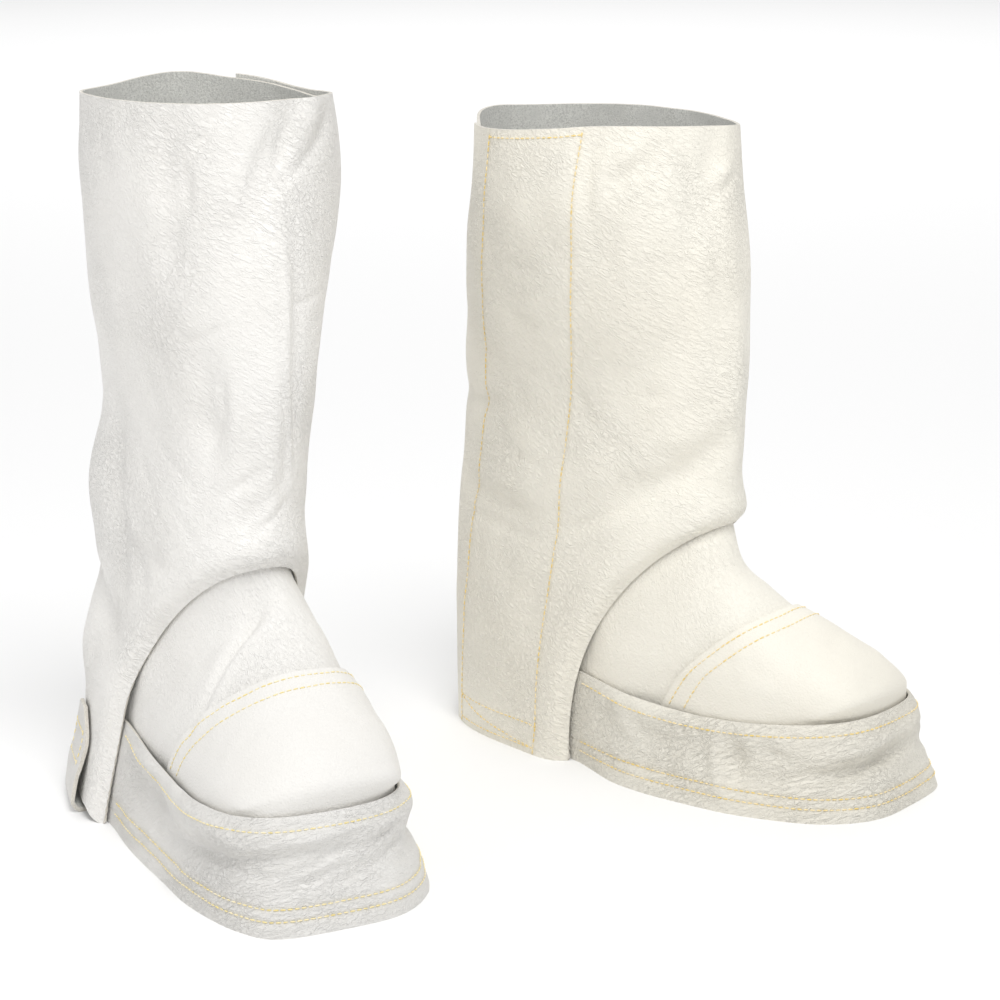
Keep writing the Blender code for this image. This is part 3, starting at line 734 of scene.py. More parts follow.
LEFT_CREASES = (
    (-25, 0.370, 0.006, 0.0032, 25, -0.0022),
    (-30, 0.360, 0.007, 0.0030, 42, -0.0022),
    (-38, 0.337, 0.012, 0.0034, 4, -0.0022),
    (-24, 0.362, 0.013, 0.0060, 27, 0.0012),
    (-48, 0.309, 0.013, 0.0060, 15, -0.0020),
    (-54, 0.323, 0.012, 0.0090, 6, 0.0014),
    (-7, 0.348, 0.016, 0.0040, 24, -0.0020),
    (22, 0.351, 0.027, 0.0050, 53, -0.0025),
    (6, 0.355, 0.010, 0.0036, 13, -0.0016),
    (22, 0.369, 0.010, 0.0060, 59, 0.0017),
    (10, 0.338, 0.025, 0.0030, 56, 0.0010),
    (4, 0.277, 0.032, 0.0032, -3, 0.0025),
    (11, 0.270, 0.037, 0.0060, -4, -0.0014),
    (10, 0.218, 0.027, 0.0030, -12, 0.0020),
    (18, 0.281, 0.014, 0.0022, 81, -0.0010),
    (-33, 0.267, 0.008, 0.0022, 60, -0.0011),
    (-43, 0.263, 0.006, 0.0020, 90, -0.0008),
    (-31, 0.232, 0.012, 0.0034, 4, -0.0020),
    (-36, 0.216, 0.006, 0.0028, 46, -0.0014),
    (-44, 0.221, 0.009, 0.0090, -4, -0.0014),
    (-74, 0.188, 0.034, 0.0030, -34, -0.0008),
    (-63, 0.202, 0.025, 0.0026, -51, -0.0008),
    (-88, 0.169, 0.034, 0.0030, -41, 0.0010),
    (-69, 0.145, 0.017, 0.0050, -75, -0.0022),
    (-72, 0.131, 0.014, 0.0060, -28, -0.0027),
    (-6, 0.169, 0.021, 0.0034, 60, -0.0030),
    (-3, 0.175, 0.020, 0.0060, 59, 0.0017),
    (-20, 0.192, 0.017, 0.0034, 63, -0.0014),
    (-86, 0.104, 0.011, 0.0020, -87, 0.0012),
    (-61, 0.132, 0.012, 0.0050, 43, 0.0014),
    (-46, 0.163, 0.015, 0.0028, -41, -0.0008),
    (-74, 0.287, 0.009, 0.0070, -6, -0.0014),
    (-79, 0.346, 0.014, 0.0060, -13, -0.0012),
)
# The creases of the skirts.
# around, height, half length, half width, tilt, lift
RIGHT_SKIRT_CREASES = (
    (0.094, 0.024, 0.013, 0.0050, 17, 0.0030),
    (0.083, 0.026, 0.016, 0.0070, 11, -0.0033),
    (0.180, 0.032, 0.014, 0.0040, -26, -0.0024),
    (0.139, 0.015, 0.020, 0.0060, 88, -0.0024),
    (0.159, 0.029, 0.011, 0.0050, 67, 0.0016),
    (0.017, 0.029, 0.032, 0.0045, -78, -0.0043),
    (0.023, 0.038, 0.029, 0.0050, -81, 0.0030),
    (0.055, 0.023, 0.009, 0.0020, -74, -0.0013),
    (0.006, 0.029, 0.020, 0.0018, -87, -0.0013),
    (0.131, 0.038, 0.004, 0.0020, 37, -0.0013),
    (0.122, 0.038, 0.004, 0.0020, 41, -0.0013),
    (0.110, 0.038, 0.004, 0.0020, 41, -0.0011),
    (0.059, 0.034, 0.010, 0.0030, 74, -0.0013),
    (0.124, 0.012, 0.021, 0.0022, 87, -0.0011),
)
LEFT_SKIRT_CREASES = (
    (-0.166, 0.036, 0.024, 0.0050, -78, -0.0036),
    (-0.057, 0.030, 0.033, 0.0040, 81, -0.0032),
    (-0.007, 0.037, 0.018, 0.0040, 86, -0.0034),
    (-0.009, 0.032, 0.013, 0.0022, 71, -0.0020),
    (-0.009, 0.025, 0.011, 0.0020, 75, -0.0016),
    (0.022, 0.039, 0.009, 0.0020, 70, -0.0018),
    (0.024, 0.029, 0.011, 0.0020, 73, -0.0018),
    (-0.039, 0.033, 0.011, 0.0020, 65, -0.0014),
    (-0.030, 0.027, 0.008, 0.0020, 82, -0.0014),
    (-0.021, 0.022, 0.007, 0.0018, 77, -0.0013),
    (0.001, 0.042, 0.010, 0.0022, 84, -0.0016),
    (-0.156, 0.025, 0.023, 0.0080, -81, -0.0024),
    (-0.078, 0.036, 0.040, 0.0060, 84, 0.0020),
    (0.005, 0.023, 0.011, 0.0020, 78, -0.0016),
    (0.014, 0.025, 0.012, 0.0026, 70, 0.0014),
)
# The creases of the vamps and toe caps.
# outward, forward, half length, half width, tilt, lift
RIGHT_UPPER_CREASES = (
    (0.050, 0.042, 0.003, 0.0080, 45, -0.0027),
    (0.054, 0.045, 0.017, 0.0060, 5, -0.0016),
    (0.037, 0.072, 0.015, 0.0080, -20, 0.0016),
    (0.044, 0.135, 0.024, 0.0100, -11, 0.0016),
)
LEFT_UPPER_CREASES = (
    (-0.009, 0.0965, 0.026, 0.0030, -85, -0.0030),
    (-0.008, 0.1025, 0.026, 0.0045, -85, 0.0020),
    (-0.014, 0.0870, 0.022, 0.0070, -80, 0.0010),
    (-0.032, 0.058, 0.014, 0.0030, -6, -0.0018),
    (-0.024, 0.071, 0.014, 0.0030, -1, -0.0016),
    (0.001, 0.090, 0.006, 0.0060, 47, -0.0016),
)


# The soft waves of each panel, the broad layer first.
# lift, length, squeeze in height
SHAFT_WAVES = ((0.0007, 0.060, 0.6), (0.0003, 0.022, 0.5))
SKIRT_WAVES = ((0.0009, 0.045, 1.6), (0.00035, 0.014, 1.8))
UPPER_WAVES = ((0.0005, 0.050, 1.0), (0.0002, 0.018, 1.0))

# Where the skirt's creases are measured round, and where the foot's reliefs start and reach full depth.
SKIRT_MIDDLE = 0.10
SKIRT_TURN_RADIUS = 0.075
SKIRT_HEM_FADE = (0.0, 0.012)
SKIRT_SEAM_FADE = (0.054, 0.044)
SKIRT_REAR_FADE = (0.020, 0.050)
UPPER_FOOT_FADE = (0.058, 0.072)
UPPER_ARCH_FADE = (0.070, 0.095)

# The roll under the skirt's seam and the hollow below it.
# height, half width, lift
SKIRT_ROLL = ((0.043, 0.0060, 0.0018), (0.028, 0.0080, -0.0020))

# How the grain looks on each panel, with the direction that its wrinkles run in. Some tones are painted
# shade.
# panel: tone with painted shade, wrinkle depth, turn
GRAINS = {
    "shaft": (1.0, 0.80, math.radians(26)),
    "vamp": (0.95, 0.50, math.radians(60)),
    # The toe cap's lower tone is painted shade, taking back light that falls on its top.
    "toe_cap": (0.93, 0.10, 0.0),
    # The skirt's lower tone is painted shade.
    "skirt": (0.85, 0.90, math.radians(-14)),
    "strap": (0.84, 0.5, 0.0),
}


class Hold(Enum):
    """How a panel is held in its shape."""

    WRAPPED = "folded"
    SHAPED = "stretched"
    HANGING = "hung"


class Layer(Enum):
    """The three finishes on a cut panel, in the order of its material slots."""

    GRAIN = 0
    SUEDE = 1
    CUT_EDGE = 2


@dataclass(frozen=True)
class Placing:
    """Where one gaiter stands."""

    side: str
    sign: float
    heading: float
    place: tuple[float, float]
    stand: float

    def world(self, points: Array) -> Array:
        """A gaiter's own points, stood up, turned to its heading and set at its place."""
        ahead = (math.cos(self.heading), -math.sin(self.heading), 0.0)
        outward = (self.sign * math.sin(self.heading), self.sign * math.cos(self.heading), 0.0)
        turned = points @ np.array((ahead, outward, (0.0, 0.0, self.stand)))
        return turned + np.array((*self.place, 0.0))


def add_node(tree: bpy.types.NodeTree, kind: str, sockets: dict, **settings: object) -> bpy.types.Node:
    """Adds a node to a tree.

    Args:
        tree: The tree.
        kind: The node's type.
        sockets: Values or other nodes' outputs, by input name or number.
        settings: Properties of the node.

    Returns:
        The new node.
    """
    node = tree.nodes.new(kind)
    for key, value in settings.items():
        setattr(node, key, value)
    for key, value in sockets.items():
        if isinstance(value, bpy.types.NodeSocket):
            tree.links.new(value, node.inputs[key])
        else:
            node.inputs[key].default_value = value
    return node


class NodeDraft:
    """Short calls for building a material's nodes."""

    def __init__(self, name: str) -> None:
        """Starts a material with its own Principled shader."""
        self.material = bpy.data.materials.new(name)
        self.material.use_nodes = True
        self.tree = self.material.node_tree
        self.shader = self.tree.nodes["Principled BSDF"]
        self.place = self.add("ShaderNodeTexCoord", {})["Object"]

    def add(self, kind: str, sockets: dict, **settings: object) -> bpy.types.bpy_prop_collection:
        """The outputs of a new node."""
        return add_node(self.tree, kind, sockets, **settings).outputs

    def math(self, operation: str, *values: object) -> bpy.types.NodeSocket:
        """The result of one sum on values or sockets."""
        sockets = dict(enumerate(values))
        return self.add("ShaderNodeMath", sockets, operation=operation)[0]

    def noise(self, scale: float, detail: float, roughness: float = 0.5) -> bpy.types.NodeSocket:
        """A noise height on the object's own coordinates."""
        sockets = {"Vector": self.place, "Scale": scale, "Detail": detail, "Roughness": roughness}
        return self.add("ShaderNodeTexNoise", sockets)["Fac"]

    def mix(self, factor: object, first: object, second: object) -> bpy.types.NodeSocket:
        """A blend of two colours."""
        sockets = {0: factor, 6: first, 7: second}
        return self.add("ShaderNodeMix", sockets, data_type="RGBA")[2]

    def ramp(self, value: object, low: float, high: float, start: float, end: float) -> object:
        """A value moved from one range to another, held at its ends."""
        sockets = {"Value": value, 1: low, 2: high, 3: start, 4: end}
        return self.add("ShaderNodeMapRange", sockets)["Result"]

    def bump(self, height: object, distance: float) -> None:
        """Gives the shader's surface a relief of full strength."""
        relief = self.add("ShaderNodeBump", {"Height": height, "Distance": distance, "Strength": 1.0})
        self.tree.links.new(relief["Normal"], self.shader.inputs["Normal"])

    def paint(self, colour: bpy.types.NodeSocket) -> None:
        """Gives the shader its colour."""
        self.tree.links.new(colour, self.shader.inputs["Base Color"])

    def finish(self, roughness: float, specular: float, sheen: float = 0.0) -> bpy.types.Material:
        """Sets the shader's constants and hands the material over."""
        self.shader.inputs["Roughness"].default_value = roughness
        self.shader.inputs["Specular IOR Level"].default_value = specular
        self.shader.inputs["Sheen Weight"].default_value = sheen
        return self.material


@dataclass(frozen=True)
class GrainFinish:
    """Smooth grain leather, pressed in along its rows of thread."""

    name: str
    colour: tuple[float, float, float]
    soil: tuple[float, float, float]
    rows: int
    wrinkle_depth: float
    wrinkle_turn: float
    wrinkle_stretch: tuple[float, float, float] = (3.6, 1.0, 1.0)
    wrinkle_scale: float = 460.0
    wrinkle_width: float = 0.14
    # The wrinkle lines are painted darker, deeper wrinkles more so.
    crease_dark_colour: tuple[float, float, float, float] = (0.55, 0.50, 0.42, 1.0)
    crease_dark_share: float = 0.10
    pore_scale: float = 820.0
    pore_depth: float = 0.35
    fine_scale: float = 420.0
    fine_depth: float = 0.35
    channel_width: float = 0.0026
    channel_depth: float = 0.90
    channel_colour: tuple[float, float, float, float] = (0.60, 0.50, 0.34, 1.0)
    channel_tint: float = 0.12
    relief: float = 0.00055

    def wrinkles(self, draft: NodeDraft) -> tuple[bpy.types.NodeSocket, bpy.types.NodeSocket]:
        """The height of the fine wrinkles, and how much of each place they take."""
        turn = (0.0, self.wrinkle_turn, 0.0)
        sockets = {"Vector": draft.place, "Rotation": turn, "Scale": self.wrinkle_stretch}
        along = draft.add("ShaderNodeMapping", sockets, vector_type="TEXTURE")[0]
        sockets = {"Vector": along, "Scale": self.wrinkle_scale, "Detail": 3.0, "Roughness": 0.55}
        crinkle = draft.add("ShaderNodeTexNoise", {**sockets, "Distortion": 0.6})["Fac"]
        ridges = draft.math("ABSOLUTE", draft.math("SUBTRACT", crinkle, 0.5))
        ridges = draft.ramp(ridges, 0.0, self.wrinkle_width, 0.0, 1.0)
        return ridges, draft.ramp(draft.noise(16.0, 2.0), 0.35, 0.65, 0.45, 1.0)

    def build(self) -> bpy.types.Material:
        """The material, whose rows of thread are read from the panel's row attributes."""
        draft = NodeDraft(self.name)
        ridges, amount = self.wrinkles(draft)
        height = draft.math("MULTIPLY", draft.math("MULTIPLY", ridges, amount), self.wrinkle_depth)
        pores = draft.add("ShaderNodeTexVoronoi", {"Vector": draft.place, "Scale": self.pore_scale})
        height = draft.math("MULTIPLY_ADD", pores["Distance"], self.pore_depth, height)
        height = draft.math("MULTIPLY_ADD", draft.noise(self.fine_scale, 3.0), self.fine_depth, height)
        shade = draft.ramp(draft.noise(9.0, 3.0), 0.35, 0.7, 0.0, 0.75)
        colour = draft.mix(shade, (*self.colour, 1.0), (*self.soil, 1.0))
        # The wrinkle lines are painted darker, deeper wrinkles more so.
        crease_dark = draft.ramp(ridges, 0.0, 0.5, 1.0, 0.0)
        crease_dark = draft.math("MULTIPLY", crease_dark, self.crease_dark_share * self.wrinkle_depth)
        colour = draft.mix(draft.math("MULTIPLY", crease_dark, amount), colour, self.crease_dark_colour)
        for row in range(self.rows):
            away = draft.add("ShaderNodeAttribute", {}, attribute_name=f"row_{row}")["Fac"]
            dip = draft.ramp(draft.math("ABSOLUTE", away), 0.0, self.channel_width, 1.0, 0.0)
            dip = draft.math("MULTIPLY", dip, dip)
            height = draft.math("SUBTRACT", height, draft.math("MULTIPLY", dip, self.channel_depth))
            tint = draft.math("MULTIPLY", dip, self.channel_tint)
            colour = draft.mix(tint, colour, self.channel_colour)
        draft.paint(colour)
        draft.bump(height, self.relief)
        return draft.finish(0.52, 0.35)


@dataclass(frozen=True)
class SuedeFinish:
    """The flesh side of the leather, short-napped and speckled."""

    name: str
    colour: tuple[float, float, float]
    dark: tuple[float, float, float]

    def build(self) -> bpy.types.Material:
        """The material."""
        draft = NodeDraft(self.name)
        speckle = draft.ramp(draft.noise(900.0, 4.0, 0.7), 0.40, 0.62, 0.0, 1.0)
        patches = draft.ramp(draft.noise(60.0, 3.0), 0.35, 0.65, 0.0, 0.6)
        factor = draft.math("MAXIMUM", speckle, patches)
        colour = draft.mix(factor, (*self.colour, 1.0), (*self.dark, 1.0))
        draft.paint(colour)
        draft.bump(draft.noise(1300.0, 3.0, 0.7), 0.0006)
        return draft.finish(0.95, 0.1, 0.25)


@dataclass(frozen=True)
class ThreadFinish:
    """Spun thread."""

    name: str
    colour: tuple[float, float, float]

    def build(self) -> bpy.types.Material:
        """The material."""
        draft = NodeDraft(self.name)
        tint = draft.ramp(draft.noise(180.0, 2.0), 0.3, 0.7, 0.0, 1.0)
        pale = tuple(0.5 + 0.5 * value for value in self.colour)
        colour = draft.mix(tint, (*self.colour, 1.0), (*pale, 1.0))
        draft.paint(colour)
        return draft.finish(0.6, 0.3, 0.2)


@dataclass
class Panel:
    """One cut piece of leather, with a finer body than its node."""

    node: str
    thickness: float
    spacing: float
    point: Callable[[Array, Array], Array]
    rows: int
    columns: int
    lines: list[Callable[[Array, Array], Array]] = field(default_factory=list)

    def knots(self, axis: int) -> Array:
        """Row or column numbers spaced about evenly over the leather."""
        count = (self.rows, self.columns)[axis]
        other = np.linspace(0, (self.columns, self.rows)[axis] - 1, 9)
        own = np.arange(count, dtype=float)
        places = (own[:, None], other[None, :]) if axis == 0 else (other[None, :], own[:, None])
        steps = np.linalg.norm(np.diff(self.point(*places), axis=0), axis=-1).max(axis=1)
        pieces = [
            np.linspace(first, first + 1, max(1, math.ceil(step / self.spacing)), endpoint=False)
            for first, step in enumerate(steps)
        ]
        return np.concatenate((*pieces, (count - 1.0,)))

    @staticmethod
    def inward_of(grid: Array) -> Array:
        """The grid's inward unit normals."""
        normal = np.cross(np.gradient(grid, axis=0), np.gradient(grid, axis=1))
        return normal / np.linalg.norm(normal, axis=-1, keepdims=True)

    def build(self, placing: Placing, materials: list[bpy.types.Material]) -> bpy.types.Object:
        """Makes the panel's closed body.

        Args:
            placing: Where the gaiter stands.
            materials: One for each layer.

        Returns:
            The panel's object.
        """
        u = self.knots(0)[:, None]
        v = self.knots(1)[None, :]
        outer = self.point(u, v)
        ring = self.ring(*outer.shape[:2])
        points = self.wall_points(outer, ring)
        faces, layers = self.wall_faces(*outer.shape[:2], ring)
        mesh = bpy.data.meshes.new(self.node)
        mesh.from_pydata(placing.world(points).tolist(), [], faces[:, :: int(-placing.sign)].tolist())
        for material in materials:
            mesh.materials.append(material)
        mesh.polygons.foreach_set("material_index", layers.astype(np.int32))
        mesh.polygons.foreach_set("use_smooth", np.ones(len(faces), bool))
        for number, line in enumerate(self.lines):
            values = np.broadcast_to(line(u, v), outer.shape[:2]).ravel()
            values = np.concatenate((values, values, values[ring]))
            attribute = mesh.attributes.new(f"row_{number}", "FLOAT", "POINT")
            attribute.data.foreach_set("value", values.astype(np.float32))
        self.unwrap(mesh, np.broadcast_arrays(u, v), ring)
        mesh.update()
        mesh.set_sharp_from_angle(angle=SHARP_TURN)
        panel = bpy.data.objects.new(f"{self.node}_leather", mesh)
        bpy.context.scene.collection.objects.link(panel)
        self.report(placing.world(outer))
        return panel

    @staticmethod
    def ring(rows: int, columns: int) -> Array:
        """The numbers of the points round a grid's edge, in order."""
        return np.concatenate((
            np.arange(columns),
            np.arange(1, rows) * columns + columns - 1,
            (rows - 1) * columns + np.arange(columns - 2, -1, -1),
            np.arange(rows - 2, 0, -1) * columns,
        ))

    def wall_points(self, outer: Array, ring: Array) -> Array:
        """The points of the outer face, the inner face and the bulging cut edge, none below the ground."""
        inner = outer + self.inward_of(outer) * self.thickness
        flat_outer = outer.reshape(-1, 3)
        flat_inner = inner.reshape(-1, 3)
        neighbours = np.concatenate((outer[1, :], outer[1:, -2], outer[-2, -2::-1], outer[-2:0:-1, 1]))
        away = flat_outer[ring] - neighbours
        away /= np.maximum(np.linalg.norm(away, axis=-1, keepdims=True), 1e-6)
        middle = (flat_outer[ring] + flat_inner[ring]) / 2 + away * self.thickness * EDGE_BULGE
        points = np.concatenate((flat_outer, flat_inner, middle))
        points[:, 2] = np.maximum(points[:, 2], 0.0)
        return points

    @staticmethod
    def wall_faces(rows: int, columns: int, ring: Array) -> tuple[Array, Array]:
        """The faces over a wall's points, and the layer of each."""
        count = rows * columns
        index = np.arange(count).reshape(rows, columns)
        quad = np.stack((index[:-1, :-1], index[:-1, 1:], index[1:, 1:], index[1:, :-1]), axis=-1)
        quad = quad.reshape(-1, 4)
        mids = 2 * count + np.arange(len(ring))
        after = np.roll(ring, -1)
        mids_after = np.roll(mids, -1)
        upper_strip = np.stack((after, mids_after, mids, ring), axis=-1)
        lower_strip = np.stack((mids_after, after + count, ring + count, mids), axis=-1)
        faces = np.concatenate((quad[:, ::-1], quad + count, upper_strip, lower_strip))
        kinds = (Layer.GRAIN.value, Layer.SUEDE.value, Layer.CUT_EDGE.value)
        return faces, np.repeat(kinds, (len(quad), len(quad), 2 * len(ring)))

    def report(self, outer: Array) -> None:
        """Logs how wide, long and large the panel's outer face is."""
        along = np.linalg.norm(np.diff(outer, axis=0), axis=-1).sum(axis=0)
        across = np.linalg.norm(np.diff(outer, axis=1), axis=-1).sum(axis=1)
        sides = np.cross(outer[1:, 1:] - outer[:-1, :-1], outer[1:, :-1] - outer[:-1, 1:])
        area = np.linalg.norm(sides, axis=-1).sum() / 2
        LOG.info("%s: %.3f by %.3f m, %.4f m2", self.node, across.max(), along.max(), area)

    def thread(self, u: Array, v: Array, lift: float) -> Array:
        """Points along a line of rows and columns, lifted off the outer face.

        Args:
            u: Row numbers.
            v: Column numbers.
            lift: How far the points stand off the face.

        Returns:
            One point for each pair of numbers.
        """
        u, v = np.broadcast_arrays(np.asarray(u, float), np.asarray(v, float))
        step = 0.02
        low_u, high_u = (np.clip(u + side, 0, self.rows - 1) for side in (-step, step))
        low_v, high_v = (np.clip(v + side, 0, self.columns - 1) for side in (-step, step))
        along = self.point(high_u, v) - self.point(low_u, v)
        inward = np.cross(along, self.point(u, high_v) - self.point(u, low_v))
        inward /= np.linalg.norm(inward, axis=-1, keepdims=True)
        return self.point(u, v) - inward * lift

    def unwrap(self, mesh: bpy.types.Mesh, places: list[Array], ring: Array) -> None:
        """Lays the grid out as the panel's UV map."""
        share_u = places[0].ravel() / (self.rows - 1)
        share_v = places[1].ravel() / (self.columns - 1)
        flat = np.stack((share_v, share_u), axis=-1)
        flat = np.concatenate((flat, flat, flat[ring])).astype(np.float32)
        layer = mesh.uv_layers.new(name="UVMap")
        corner = np.empty(len(mesh.loops), np.int32)
        mesh.loops.foreach_get("vertex_index", corner)
        layer.uv.foreach_set("vector", flat[corner].ravel())


@dataclass(frozen=True)
class Cut:
    """The flat size that a panel is cut to, and how it is held."""

    width: float
    length: float
    area: float
    hold: Hold
    rests_on: tuple[str, ...] = ()

    def declare(self, panel: bpy.types.Object) -> None:
        """Takes a panel and does nothing with it."""


@dataclass(frozen=True)
class Stitching:
    """Rows of short stitches, laid out by Geometry Nodes along open lines."""

    name: str
    pitch: float = 0.0036
    length: float = 0.0029
    radius: float = 0.00042
    seed: int = 7
    sides: int = 6
    wobble: float = 0.07
    size_range: tuple[float, float] = (0.88, 1.08)

    def tree(self, material: bpy.types.Material) -> bpy.types.NodeTree:
        """The node tree: points along each line, and a stitch at each point.

        Args:
            material: The thread's finish.

        Returns:
            The finished tree.
        """
        tree = bpy.data.node_groups.new(f"{self.name}_rows", "GeometryNodeTree")
        kinds = {"Geometry": "Geometry", "Pitch": "Float", "Length": "Float", "Radius": "Float"}
        for label, kind in {**kinds, "Seed": "Int"}.items():
            tree.interface.new_socket(label, in_out="INPUT", socket_type=f"NodeSocket{kind}")
        tree.interface.new_socket("Geometry", in_out="OUTPUT", socket_type="NodeSocketGeometry")

        def add(kind: str, sockets: dict, **settings: object) -> bpy.types.bpy_prop_collection:
            """The outputs of a new node."""
            return add_node(tree, kind, sockets, **settings).outputs

        given = add("NodeGroupInput", {})
        seed = given["Seed"]
        low, high = self.size_range
        sockets = {"Curve": given["Geometry"], "Length": given["Pitch"]}
        along = add("GeometryNodeCurveToPoints", sockets, mode="LENGTH")
        sockets = {"Segments": self.sides, "Rings": self.sides, "Radius": 1.0}
        ball = add("GeometryNodeMeshUVSphere", sockets)["Mesh"]
        half = add("ShaderNodeMath", {0: given["Length"], 1: 0.5}, operation="MULTIPLY")[0]
        size = add("ShaderNodeCombineXYZ", {"X": given["Radius"], "Y": given["Radius"], "Z": half})[0]
        chance = add("FunctionNodeRandomValue", {2: low, 3: high, "Seed": seed}, data_type="FLOAT")[1]
        scale = add("ShaderNodeVectorMath", {0: size, "Scale": chance}, operation="SCALE")["Vector"]
        sockets = {0: (-self.wobble,) * 3, 1: (self.wobble,) * 3, "Seed": seed}
        wobble = add("FunctionNodeRandomValue", sockets, data_type="FLOAT_VECTOR")[0]
        wobble = add("FunctionNodeEulerToRotation", {0: wobble})[0]
        way = add("FunctionNodeAlignRotationToVector", {"Vector": along["Tangent"]}, axis="Z")["Rotation"]
        sockets = {"Rotation": way, "Rotate By": wobble}
        turn = add("FunctionNodeRotateRotation", sockets, rotation_space="LOCAL")["Rotation"]
        sockets = {"Points": along["Points"], "Instance": ball, "Rotation": turn, "Scale": scale}
        placed = add("GeometryNodeInstanceOnPoints", sockets)["Instances"]
        plain = add("GeometryNodeRealizeInstances", {"Geometry": placed})["Geometry"]
        smooth = add("GeometryNodeSetShadeSmooth", {"Geometry": plain})["Geometry"]
        sockets = {"Geometry": smooth, "Material": material}
        add("NodeGroupOutput", {"Geometry": add("GeometryNodeSetMaterial", sockets)["Geometry"]})
        return tree

    def build(
        self, placing: Placing, rows: list[Array], material: bpy.types.Material
    ) -> bpy.types.Object:
        """Sews rows of stitches.

        Args:
            placing: Where the gaiter stands.
            rows: The lines of points to sew along.
            material: The thread's finish.

        Returns:
            A plain mesh of all the stitches.
        """
        curve = bpy.data.curves.new(f"{self.name}_lines", "CURVE")
        curve.dimensions = "3D"
        for row in rows:
            spline = curve.splines.new("POLY")
            spline.points.add(len(row) - 1)
            flat = np.column_stack((placing.world(row), np.ones(len(row))))
            spline.points.foreach_set("co", flat.ravel())
        lines = bpy.data.objects.new(f"{self.name}_lines", curve)
        bpy.context.scene.collection.objects.link(lines)
        tree = self.tree(material)
        modifier = lines.modifiers.new("rows", "NODES")
        modifier.node_group = tree
        values = {"Pitch": self.pitch, "Length": self.length, "Radius": self.radius, "Seed": self.seed}
        for item in tree.interface.items_tree:
            if item.item_type == "SOCKET" and item.in_out == "INPUT" and item.name in values:
                modifier[item.identifier] = values[item.name]
        graph = bpy.context.evaluated_depsgraph_get()
        mesh = bpy.data.meshes.new_from_object(lines.evaluated_get(graph), depsgraph=graph)
        mesh.name = self.name
        bpy.data.objects.remove(lines)
        stitches = bpy.data.objects.new(self.name, mesh)
        bpy.context.scene.collection.objects.link(stitches)
        LOG.info("%s: %d faces", self.name, len(mesh.polygons))
        return stitches


